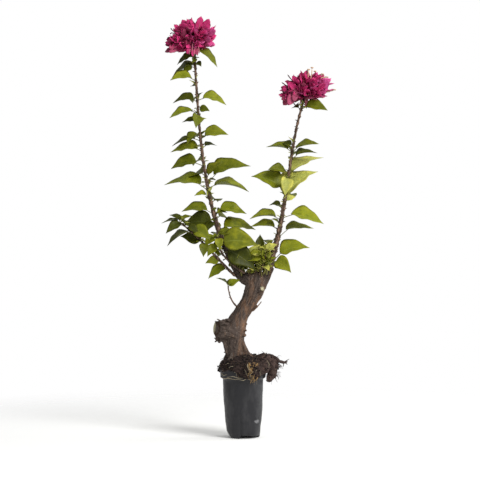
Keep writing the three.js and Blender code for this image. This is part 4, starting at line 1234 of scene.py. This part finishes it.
class PLANT_OT_trunk(bpy.types.Operator):
    """Make the trunk, its burl and stumps and the foot of each bough under one cracked bark"""

    bl_idname = "plant.make_trunk"
    bl_label = "Make Trunk"

    def execute(self, context):
        settings = context.scene.potted_plant.bark
        axis = bezier(*TRUNK_AXIS)
        limb = Form(36, 64)

        def ribbed(share, around):
            ribs = 0.05 * np.sin(3 * around + 4 * share) + 0.035 * np.sin(5 * around - 7 * share)
            radius = (along_stops(TRUNK_RADII, share) - 0.7) * (1 + ribs)
            return np.sin(around) * radius, np.cos(around) * radius

        body = bmesh.new()
        add_form(body, limb, limb.bent(axis, FRONT, ribbed))
        add_ball(body, np.array(BURL["centre"], float), np.array(BURL["size"], float) - 0.8, 4, 0.12)
        for stump in (SAWN_LIMB, CUT_STUB, *SMALL_STUMPS):
            girth = blunt(flared(*stump["radii"]), 12)
            line = bezier(stump["start"], stump["end"])
            add_form(body, limb, limb.bent(line, FRONT, round_section(girth)))
        for places, wide, narrow in BUTTRESSES:
            add_form(body, limb, limb.bent(bezier(*places), FRONT, tapered(wide, narrow)))
        for place, radius in BURRS:
            add_ball(body, np.array(place), radius * np.array((1.1, 1, 0.85)), 3, 0.6)
        axes = [axis, bezier(SAWN_LIMB["start"], SAWN_LIMB["end"])]
        for shoot, top in zip((LEFT_SHOOT, RIGHT_SHOOT), BOUGH_TOPS):
            curve = bezier(*shoot[0])
            end = share_at_height(curve, top + 3)
            girth = round_section(lambda s, e=end, stem=shoot: stem_radius(stem, s * e))
            bough = part_of(curve, 0, end)
            add_form(body, limb, limb.bent(bough, FRONT, girth))
            axes.append(bough)
        mesh = skinned("trunk_bark", body, 1.15)
        points, normals = corners_of(mesh), normals_of(mesh)
        relief, crack = bark_relief(points, normals, axes, settings.relief / MM)
        slim = np.clip((points[:, 2] - 330) / 30, 0, 1)
        relief *= 1 - 0.6 * slim
        ends = np.zeros(len(points), bool)
        for stump in (SAWN_LIMB, CUT_STUB):
            start, end = np.array(stump["start"], float), np.array(stump["end"], float)
            line = unit(end - start)
            beyond = (points - end) @ line
            near = np.linalg.norm(points - end, axis=1) < stump["radii"][1] + 3
            ends |= near & (beyond > -1.5)
        relief[ends] *= 0.35
        points += normals * relief[:, None]
        face = unit(np.array(SAWN_LIMB["face"]))
        beyond = (points - SAWN_LIMB["end"]) @ face + 2.4
        at_face = (beyond > 0) & (np.linalg.norm(points - SAWN_LIMB["end"], axis=1) < 19)
        points[at_face] -= face * (beyond[at_face] * 0.92)[:, None]
        place_corners(mesh, points)
        put_values(mesh, "crack", crack)
        show("trunk_bark", mesh, bark_finish(settings), ["trunk", "left_bough", "right_bough"])

        cuts = []
        for stump in (SAWN_LIMB, CUT_STUB):
            start, end = np.array(stump["start"], float), np.array(stump["end"], float)
            line = unit(np.array(stump.get("face", end - start), float))
            end = end - line * (2.6 if "face" in stump else 0)
            disc = bmesh.new()
            radius = stump["radii"][1] - 1.4
            bmesh.ops.create_circle(disc, segments=48, radius=radius * MM, cap_ends=True)
            for _ in range(6):
                widest = max(disc.faces, key=lambda f: f.calc_area())
                bmesh.ops.inset_region(disc, faces=[widest], thickness=radius * MM / 7.5)
            bmesh.ops.poke(disc, faces=[max(disc.faces, key=lambda f: f.calc_area())])
            across = unit(np.cross(line, FRONT))
            lift = np.cross(across, line)
            spots = np.array([v.co for v in disc.verts], float) / MM
            ring = np.hypot(spots[:, 0], spots[:, 1]) / radius
            depth = 0.5 * rough(spots + end, 4, 3) - 1.6 * np.clip(0.75 - ring, 0, 1)
            places = end + np.outer(spots[:, 0], across) + np.outer(spots[:, 1], lift)
            places += np.outer(0.9 + depth, line)
            for corner, place in zip(disc.verts, places * MM):
                corner.co = place
            wedge = bmesh.ops.extrude_face_region(disc, geom=disc.faces[:])["geom"]
            for corner in (g for g in wedge if isinstance(g, bmesh.types.BMVert)):
                corner.co -= Vector(line * 2.6 * MM)
            bmesh.ops.recalc_face_normals(disc, faces=disc.faces[:])
            mesh = bpy.data.meshes.new("cut")
            disc.to_mesh(mesh)
            disc.free()
            spots = corners_of(mesh)
            out = np.linalg.norm(np.cross(spots - end, line), axis=1) / radius
            torn = rotten(stump, out, spots) + 0.6 * rough(spots, 4, 2)
            put_values(mesh, "crack", np.clip(torn, 0, 1))
            cuts.append(mesh)
        wood = wood_finish(settings)
        for name, mesh in zip(("sawn_face", "stub_face"), cuts):
            show(name, mesh, wood)
        return {"FINISHED"}


def tier_leaves(shoot, tiers):
    """The leaves of one shoot, tier by tier."""
    curve = bezier(*shoot[0])
    bearings = {"left": 180, "right": 0, "front": -90, "back": 90}
    leaves = []
    for seed, rows in tiers:
        lots = Lots(seed)
        for at, side, length, rise, roll, colour, *stalk in rows:
            habit = leaf_habit(bearings.get(side, side), rise, roll, length, 1, lots)
            habit["petiole"] = stalk[0] if stalk else habit["petiole"]
            climb = habit["petiole"] * math.sin(habit["petiole_rise"] * DEG)
            along = share_at_height(curve, at - climb)
            leaves.append(leaf_at(curve, shoot, along, habit, colour))
    return leaves


def spray_leaves(stem, rows, seed):
    curve, lots = bezier(*stem[0]), Lots(seed)
    leaves = []
    for along, bearing, rise, roll, length, colour in rows:
        habit = leaf_habit(bearing, rise, roll, length, 0.3, lots)
        leaves.append(leaf_at(curve, stem, along, habit, colour))
    return leaves


def leaf_at(curve, stem, along, habit, colour):
    node = curve(along)[0][0]
    return {"node": node, "stem": stem_radius(stem, along), "along": along, "colour": colour, **habit}


def leaf_habit(bearing, rise, roll, length, loose, lots):
    """How a leaf grows from its node. Six lots are drawn for each, whatever its place."""
    turn = (lots() - 0.5) * 60 * loose
    tilt = (lots() - 0.5) * 8 * loose
    roll_lot = lots()
    fold = lots.between(20, 34)
    petiole = lots.between(0.2, 0.28) * length * (0.4 + 0.6 * loose)
    curl = lots.between(10, 20)
    return {
        "length": length / math.cos(turn * DEG),
        "fold": fold,
        "petiole": petiole,
        "curl": curl,
        "bearing": bearing + turn,
        "rise": rise + tilt,
        "roll": 20 + 18 * roll_lot if roll is None else roll,
        "petiole_rise": max(rise, -20) + 44,
    }


def all_leaves():
    """The full leaves in groups, each with the stem that it grows on."""
    tiers = ((LEFT_SHOOT, LEFT_TIERS), (RIGHT_SHOOT, RIGHT_TIERS))
    groups = [(shoot, tier_leaves(shoot, rows)) for shoot, rows in tiers]
    groups += [(stem, spray_leaves(stem, rows, seed)) for stem, rows, seed in SPRAYS]
    return groups


class PLANT_OT_shoots(bpy.types.Operator):
    """Make the knobbly shoots, the thin twigs and the leaf stalks"""

    bl_idname = "plant.make_shoots"
    bl_label = "Make Shoots"

    def execute(self, context):
        scene = context.scene.potted_plant
        shoots, stalks = Gathering(), Gathering()
        long_form, twig_form, thorn, stalk = Form(14, 190), Form(8, 34), Form(6, 6), Form(6, 9)
        lots = Lots(91)
        tops = dict(zip((LEFT_SHOOT, RIGHT_SHOOT), BOUGH_TOPS))
        for stem, leaves in all_leaves():
            curve = bezier(*stem[0])
            kind = "long" if stem in tops else "twig"
            start = share_at_height(curve, tops[stem] - 3) if stem in tops else 0.02
            nodes = np.array([leaf["along"] for leaf in leaves])
            knots = np.concatenate((nodes, np.linspace(start, 1, NODES[kind])))

            def knobbly(share, around, stem=stem, start=start, knots=knots):
                along = start + (1 - start) * share
                swell = np.exp(-(((along[:, None] - knots[None]) / 0.0065) ** 2)).max(1)
                ripple = 0.05 * np.sin(3 * around + 4 * np.sin(23 * share))
                ripple = ripple + 0.05 * np.sin(97 * share + around)
                radius = stem_radius(stem, along) * (0.88 + 0.34 * swell + ripple)
                return np.sin(around) * radius, np.cos(around) * radius

            form = long_form if stem in tops else twig_form
            shoots.add(form, form.bent(part_of(curve, start, 1), FRONT, knobbly), lots())
            spurs = SPURS[kind]
            for index in range(spurs):
                along = start + (1 - start) * (index + lots()) / spurs
                place, tangent = (a[0] for a in curve(along))
                bearing = index * GOLDEN_ANGLE + 40 * lots()
                out = unit(heading(bearing, 0) + tangent * lots.between(0.2, 0.9))
                length = lots.between(2, 6) if stem in tops else lots.between(1.2, 3)
                root = place + out * stem_radius(stem, along) * 0.5
                tip = root + out * (stem_radius(stem, along) * 0.5 + length)
                hook = (root + tip) / 2 + np.array((0, 0, 0.14 * length))
                girth = thinning(lots.between(0.9, 2.3), 1.1, 0.8)
                up = heading(bearing + 90, 0)
                shoots.add(thorn, thorn.bent(bezier(root, hook, tip), up, girth), lots())
            for leaf in leaves:
                stalks.add(stalk, petiole_points(stalk, leaf), lots())
        for stem, leaves in sprigs():
            girth = round_section(lambda s, stem=stem: stem_radius(stem, s))
            stalks.add(twig_form, twig_form.bent(bezier(*stem[0]), FRONT, girth), lots())
        show("shoots", shoots.mesh("shoots"), shoot_finish(scene.bark), FOLIAGE_NODES)
        petioles = plain_finish("Petioles", scene.foliage.petiole, 0.6)
        show("leaf_stalks", stalks.mesh("leaf_stalks"), petioles)
        return {"FINISHED"}


# ------------------------------------------------------------------ leaves


def leaf_frame(leaf):
    """A leaf's foot, knee and tip, and the direction that its upper face looks."""
    bearing, rise, curl, roll = (leaf[k] for k in ("bearing", "rise", "curl", "roll"))
    foot = leaf["node"] + heading(bearing, leaf["petiole_rise"]) * (leaf["stem"] + leaf["petiole"])
    knee = foot + heading(bearing, rise + curl) * leaf["length"] / 2
    tip = knee + heading(bearing, rise - curl) * leaf["length"] / 2
    side = heading(bearing - 90, 0)
    turn = math.sin(roll * DEG) * (1 if side[1] <= 0 else -1)
    return foot, knee, tip, heading(bearing, rise + 90) * math.cos(roll * DEG) + side * turn


def petiole_points(form, leaf):
    foot, _, _, up = leaf_frame(leaf)
    bearing = leaf["bearing"]
    out = leaf["stem"] + 0.45 * leaf["petiole"]
    elbow = leaf["node"] + heading(bearing, leaf["petiole_rise"]) * out
    sunk = foot + heading(bearing, leaf["rise"] + leaf["curl"]) * 0.1 * leaf["length"]
    girth = round_section(lambda s: 0.95 - 0.3 * s)
    return form.bent(bezier(leaf["node"], elbow, sunk), up, girth)


def blade_points(form, leaf, thickness, lots, width_share=0.74):
    """A leaf blade: folded at its midrib, arched, lightly waved, with a drawn-out tip."""
    foot, knee, tip, up = leaf_frame(leaf)
    length, fold = leaf["length"], leaf["fold"] * DEG
    wave, phase, twist = 0.026 * length, 6.3 * lots(), lots.between(-0.35, 0.35)

    def section(share, around):
        outline = np.sin(np.pi * share**0.6) ** 1.25
        half = 0.5 * width_share * length * np.maximum(outline, 0.012)
        out = np.sin(around) * half
        side = np.sign(out)
        ruffle = wave * np.abs(np.sin(around)) * outline * np.sin(15 * share + phase + side)
        keel = math.sin(fold) * np.abs(out) * (1.1 - 0.4 * share) + ruffle
        height = keel + 0.5 * np.cos(around) * thickness * max(1, length / 28)
        across = out * math.cos(fold)
        cos, sin = np.cos(twist * (share - 0.2)), np.sin(twist * (share - 0.2))
        return across * cos - height * sin, height * cos + across * sin

    return form.bent(bezier(foot, knee, tip), up, section, 1.25)


def axil_leaves(groups):
    """The tiny leaves that sit in the axils of the others, and at the ends of the twigs."""
    lots = Lots(123)
    small = []
    for stem, leaves in groups:
        for leaf in leaves:
            for _ in range(1 + int(2.2 * lots())):
                length = lots.between(7, 17)
                habit = leaf_habit(lots() * 360, lots.between(-10, 55), None, length, 1, lots)
                colour = ("olive", "green", "bright", "young")[int(lots() * 4)]
                small.append({**habit, "node": leaf["node"], "stem": leaf["stem"], "colour": colour})
    return small


def sprigs():
    """Thin pale sprouts that crowd round the burl and the right bough, each with small leaves."""
    made = []
    for seed, count, low, high, rise, tall, longer in SPRIG_CROWDS:
        lots = Lots(seed)
        for index in range(count):
            foot = np.array([lots.between(a, b) for a, b in zip(low, high)])
            lean = heading(lots() * 360, lots.between(*rise))
            height = lots.between(*tall) + 8 * (index % 3 == 0)
            bend = foot + lean * height / 2 + np.array((lots.between(-4, 4), 0, 0))
            tip = foot + lean * height
            stem = ((tuple(foot), tuple(bend), tuple((bend + tip) / 2), tuple(tip)), 1.3, 0.8, 1)
            rows = [
                (
                    lots.between(0.3, 1), lots() * 360, lots.between(10, 70), 10 + 50 * lots(),
                    lots.between(9, 20) * longer,
                    ("young", "bright", "young", "green")[int(4 * lots())],
                )
                for _ in range(7)
            ]
            made.append((stem, spray_leaves(stem, rows, 200 + index)))
    return made


class PLANT_OT_leaves(bpy.types.Operator):
    """Make all the leaves, gathered by colour"""

    bl_idname = "plant.make_leaves"
    bl_label = "Make Leaves"

    def execute(self, context):
        settings = context.scene.potted_plant.foliage
        thickness = settings.thickness / MM
        groups = all_leaves()
        broad, small = Form(8, 13), Form(6, 8)
        gathered = {colour: Gathering() for colour in ("deep", "olive", "green", "bright", "young")}
        lots = Lots(61)
        for _, leaves in groups:
            for leaf in leaves:
                blade = blade_points(broad, leaf, thickness, lots)
                gathered[leaf["colour"]].add(broad, blade, lots())
        for leaf in axil_leaves(groups):
            blade = blade_points(small, leaf, thickness, lots, 0.6)
            gathered[leaf["colour"]].add(small, blade, lots())
        for _, leaves in sprigs():
            for leaf in leaves:
                blade = blade_points(small, leaf, thickness, lots, 0.56)
                gathered[leaf["colour"]].add(small, blade, lots())
        for colour, group in gathered.items():
            name = f"{colour}_leaves"
            finish = leaf_finish(name.replace("_", " ").capitalize(), getattr(settings, colour))
            show(name, group.mesh(name), finish)
        return {"FINISHED"}


# ------------------------------------------------------------------ flower heads


def head_bracts(head, triads, lots, foot_share, reach_share):
    """The bracts of a head, fanned out from its heart in threes by the golden angle."""
    heart, centre = np.array(head["heart"], float), np.array(head["centre"], float)
    lean = head["lean"] * DEG
    for i in range(triads):
        height = 1 - 1.9 * (i + 0.4) / triads
        bearing = i * GOLDEN_ANGLE
        x, y, z = heading(bearing, math.asin(height) / DEG) * head["size"]
        tilted = (x * math.cos(lean) + z * math.sin(lean), y, z * math.cos(lean) - x * math.sin(lean))
        ray = np.array(tilted) + centre - heart
        foot = heart + ray * foot_share
        reach = (reach_share - foot_share) * np.linalg.norm(ray)
        sway = np.array((lots() - 0.5, lots() - 0.5, lots() - 0.35))
        axis = unit(unit(ray) + 0.6 * sway)
        side = heading(bearing + 90, 0)
        cross = unit(np.cross(axis, side))
        start = lots() * 120
        for k in range(3):
            around = (start + k * 120 + (lots() - 0.5) * 30) * DEG
            outward = side * math.cos(around) + cross * math.sin(around)
            yield foot, axis, outward, lots.between(8, 40), reach * lots.between(0.76, 1.04)


def bract_points(form, foot, axis, outward, spread, length, lots, width_share=0.6):
    """A papery bract: cupped, pointed, crinkled along its margins."""

    def leaning(angle):
        return axis * math.cos(angle * DEG) + outward * math.sin(angle * DEG)

    cup = lots.between(2, 26)
    knee = foot + leaning(spread + cup) * length / 2
    tip = knee + leaning(spread - cup) * length / 2
    phase, fold, wave = 6.3 * lots(), lots.between(4, 40) * DEG, 0.06 * length

    def section(share, around):
        outline = np.sin(np.pi * share**0.86) ** 0.62
        out = np.sin(around) * 0.5 * width_share * length * np.maximum(outline, 0.01)
        crinkle = wave * np.sin(around) ** 2 * outline * np.sin(19 * share + phase + 2 * np.sign(out))
        height = math.sin(fold) * np.abs(out) + crinkle + 0.2 * np.cos(around)
        return out * math.cos(fold), height

    return form.bent(bezier(foot, knee, tip), leaning(spread - 90), section)


def pressed_up(head, points):
    """A bract's points, with what would hang below the head's underside bent up along it."""
    share = np.clip((points[:, 0] - head["centre"][0]) / head["size"][0] * 0.5 + 0.5, 0, 1)
    low_left, low_right = head["underside"]
    below = np.maximum(low_left + (low_right - low_left) * share - points[:, 2], 0)
    points[:, 2] += 0.82 * below
    return points


def in_notch(head, points):
    """Whether a bract's tip stands in the notch in the head's top."""
    tip = points[np.argmax(np.linalg.norm(points - head["heart"], axis=1))]
    notch, level = head["notch"]
    return abs(tip[0] - notch) < 7 and tip[2] > level


class PLANT_OT_flower_heads(bpy.types.Operator):
    """Make the heads of papery bracts with their stalks and small flowers"""

    bl_idname = "plant.make_flower_heads"
    bl_label = "Make Flower Heads"

    def execute(self, context):
        settings = context.scene.potted_plant.blossom
        bract, tube, petal = Form(8, 9), Form(6, 7), Form(4, 5)
        groups = {colour: Gathering() for colour in ("shaded", "magenta", "pink")}
        tubes, cream, spent = Gathering(), Gathering(), Gathering()
        for head in HEADS:
            lots = Lots(head["seed"])
            heart, centre = np.array(head["heart"], float), np.array(head["centre"], float)
            crowds = [(head, settings.triads, 0.44, 1.03), (head, settings.triads // 2, 0.16, 0.8)]
            for skirt_heart, middle, size, share in head["skirts"]:
                skirt = {"heart": skirt_heart, "centre": middle, "size": size, "lean": 0}
                crowds.append((skirt, int(settings.triads * share), 0.3, 1.05))
            for crowd, triads, foot_share, reach_share in crowds:
                for fan in head_bracts(crowd, triads, lots, foot_share, reach_share):
                    foot, axis, outward, spread, length = fan
                    points = pressed_up(head, bract_points(bract, *fan, lots))
                    # Bracts towards the head's left more often take the shaded colour and those to its
                    # right the pink one: painted shade and painted highlights, as the light falls from
                    # the right.
                    leftness = (centre[0] - points[:, 0].mean()) / head["size"][0]
                    pick, lot, flower = lots() - 0.5 * leftness, lots(), lots.between(0.4, 0.62)
                    if in_notch(head, points):
                        continue
                    colour = "shaded" if pick < 0.1 else "pink" if pick > 0.82 else "magenta"
                    groups[colour].add(bract, points, lot)
                    if lot < 0.4:
                        top = foot + (axis + 0.25 * outward) * length * flower
                        way = bezier(foot - axis * 3, top)
                        girth = round_section(lambda s: 0.75 + 0.5 * s**2)
                        tubes.add(tube, tube.bent(way, outward, girth), lot)
            for root, tip, width in head["lobes"]:
                ray = np.array(tip, float) - root
                axis, length = unit(ray), np.linalg.norm(ray)
                outward = unit(FRONT + np.array((0.3, 0, 0.4)))
                fan = (np.array(root, float), axis, outward, 6, length)
                points = bract_points(bract, *fan, lots, width)
                # The hanging lobes mostly take the shaded colour: painted shade under the head.
                colour = ("shaded", "shaded", "magenta")[int(3 * lots())]
                groups[colour].add(bract, points, lots())
            stalk_foot = heart + (0, 0, -22)
            for k in range(HEAD_STALKS):
                way = heading(k * GOLDEN_ANGLE, lots.between(30, 70)) * lots.between(16, 26)
                root = stalk_foot + heading(k * GOLDEN_ANGLE, 0) * 1.2
                line = bezier(root, heart + (0, 0, -9), heart + way)
                tubes.add(tube, tube.bent(line, FRONT, thinning(1.0, 1.0, 0.3)), lots())
            for group, stalks, petals in (
                (spent, head["spent"], 0), (cream, head["open"], 5), (tubes, head["hanging"], 0),
            ):
                girth = tapered(0.8, 1.3) if group is spent else tapered(1.4, 1)
                for places in stalks:
                    curve = through(places)
                    group.add(tube, tube.bent(curve, FRONT, girth), 0.9)
                    far, way = (a[0] for a in curve(1.0))
                    for k in range(petals):
                        out = unit(heading(k * 360 / petals + 20, 12) + way * 0.5)
                        star = bezier(far - way, far + out * 2.3, far + out * 3.9 - way * 0.9)
                        flat = round_section(lambda s: 1.3 * np.sin(np.pi * np.clip(s, 0, 1)) ** 0.6)
                        group.add(petal, petal.bent(star, way, flat), 0.9)
        for colour, group in groups.items():
            name = f"{colour}_bracts"
            finish = bract_finish(name.replace("_", " ").capitalize(), getattr(settings, colour))
            nodes = HEAD_NODES if colour == "magenta" else ()
            show(name, group.mesh(name), finish, nodes)
        trims = (
            ("flower_stalks", tubes, settings.tube),
            ("open_flowers", cream, settings.cream),
            ("spent_flowers", spent, settings.spent),
        )
        for name, group, colour in trims:
            finish = plain_finish(name.replace("_", " ").capitalize(), colour, 0.7)
            show(name, group.mesh(name), finish)
        return {"FINISHED"}


# ------------------------------------------------------------------ stage


class PLANT_OT_stage(bpy.types.Operator):
    """Set the pale floor, the soft lights and the camera"""

    bl_idname = "plant.set_stage"
    bl_label = "Set Stage"

    def execute(self, context):
        settings = context.scene.potted_plant.stage
        scene = context.scene
        ground = bmesh.new()
        bmesh.ops.create_grid(ground, x_segments=2, y_segments=2, size=2)
        mesh = bpy.data.meshes.new("floor")
        ground.to_mesh(mesh)
        ground.free()
        floor = bpy.data.objects.new("floor", mesh)
        scene.collection.objects.link(floor)
        finish = Finish("Floor", 0.9, 0.1)
        away = finish.node("ShaderNodeVectorMath", operation="LENGTH")
        finish.put(away.inputs[0], finish.where)
        finish.set("Base Color", tuple(settings.floor))
        finish.set("Alpha", finish.between(away.outputs["Value"], 0.25, 1.0, 1, 0))
        mesh.materials.append(finish.material)
        floor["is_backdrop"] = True

        world = bpy.data.worlds.new("Studio")
        scene.world = world
        world.use_nodes = True
        tree = world.node_tree
        tree.nodes.clear()
        out = tree.nodes.new("ShaderNodeOutputWorld")
        mix = tree.nodes.new("ShaderNodeMixShader")
        path = tree.nodes.new("ShaderNodeLightPath")
        for index, strength in ((1, settings.daylight), (2, 1.0)):
            light = tree.nodes.new("ShaderNodeBackground")
            light.inputs["Color"].default_value = (1, 1, 1, 1)
            light.inputs["Strength"].default_value = strength
            tree.links.new(light.outputs[0], mix.inputs[index])
        tree.links.new(path.outputs["Is Camera Ray"], mix.inputs[0])
        tree.links.new(mix.outputs[0], out.inputs["Surface"])

        for name, place, size, share in LAMPS:
            data = bpy.data.lights.new(name, "AREA")
            data.size = size
            data.energy = settings.lamp * share
            lamp = bpy.data.objects.new(name, data)
            lamp.location = place
            aim = Vector(LIGHT_AIM) - Vector(place)
            lamp.rotation_euler = aim.to_track_quat("-Z", "Y").to_euler()
            scene.collection.objects.link(lamp)

        data = bpy.data.cameras.new("camera")
        data.sensor_width = SENSOR_WIDTH
        data.lens = SENSOR_WIDTH * settings.distance / VIEW_WIDTH
        camera = bpy.data.objects.new("camera", data)
        camera.location = (CAMERA_X, -settings.distance, settings.height)
        camera.rotation_euler = (math.pi / 2, 0, 0)
        scene.collection.objects.link(camera)
        scene.camera = camera
        scene.view_settings.view_transform = "Standard"
        return {"FINISHED"}


# ------------------------------------------------------------------ panel and registration


class PLANT_PT_pieces(bpy.types.Panel):
    """Lists the plant's pieces, each with the settings that it is made from"""

    bl_idname = "PLANT_PT_pieces"
    bl_label = "Potted Plant"
    bl_space_type = "VIEW_3D"
    bl_region_type = "UI"
    bl_category = "Potted Plant"

    def draw(self, context):
        settings = context.scene.potted_plant
        for group, operators in STEPS:
            box = self.layout.box()
            for operator in operators:
                box.operator(operator.bl_idname)
            chosen = getattr(settings, group)
            for name in chosen.__annotations__:
                box.prop(chosen, name)


STEPS = (
    ("pot", (PLANT_OT_pot,)),
    ("soil", (PLANT_OT_root_ball,)),
    ("bark", (PLANT_OT_trunk, PLANT_OT_shoots)),
    ("foliage", (PLANT_OT_leaves,)),
    ("blossom", (PLANT_OT_flower_heads,)),
    ("stage", (PLANT_OT_stage,)),
)
CLASSES = (
    PotSettings,
    SoilSettings,
    BarkSettings,
    FoliageSettings,
    BlossomSettings,
    StageSettings,
    PlantSettings,
    *(operator for _, operators in STEPS for operator in operators),
    PLANT_PT_pieces,
)


def register():
    for made in CLASSES:
        bpy.utils.register_class(made)
    bpy.types.Scene.potted_plant = PointerProperty(
        type=PlantSettings, name="Potted Plant", description="Sizes and colours of the plant"
    )


def unregister():
    del bpy.types.Scene.potted_plant
    for made in reversed(CLASSES):
        bpy.utils.unregister_class(made)


def main():
    register()
    for _, operators in STEPS:
        for operator in operators:
            _, name = operator.bl_idname.split(".")
            getattr(bpy.ops.plant, name)()
    boxes = {"cad": CAD_BOX, "visual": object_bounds()}
    {name: [list(corner) for corner in box] for name, box in boxes.items()}


if __name__ == "__main__":
    main()
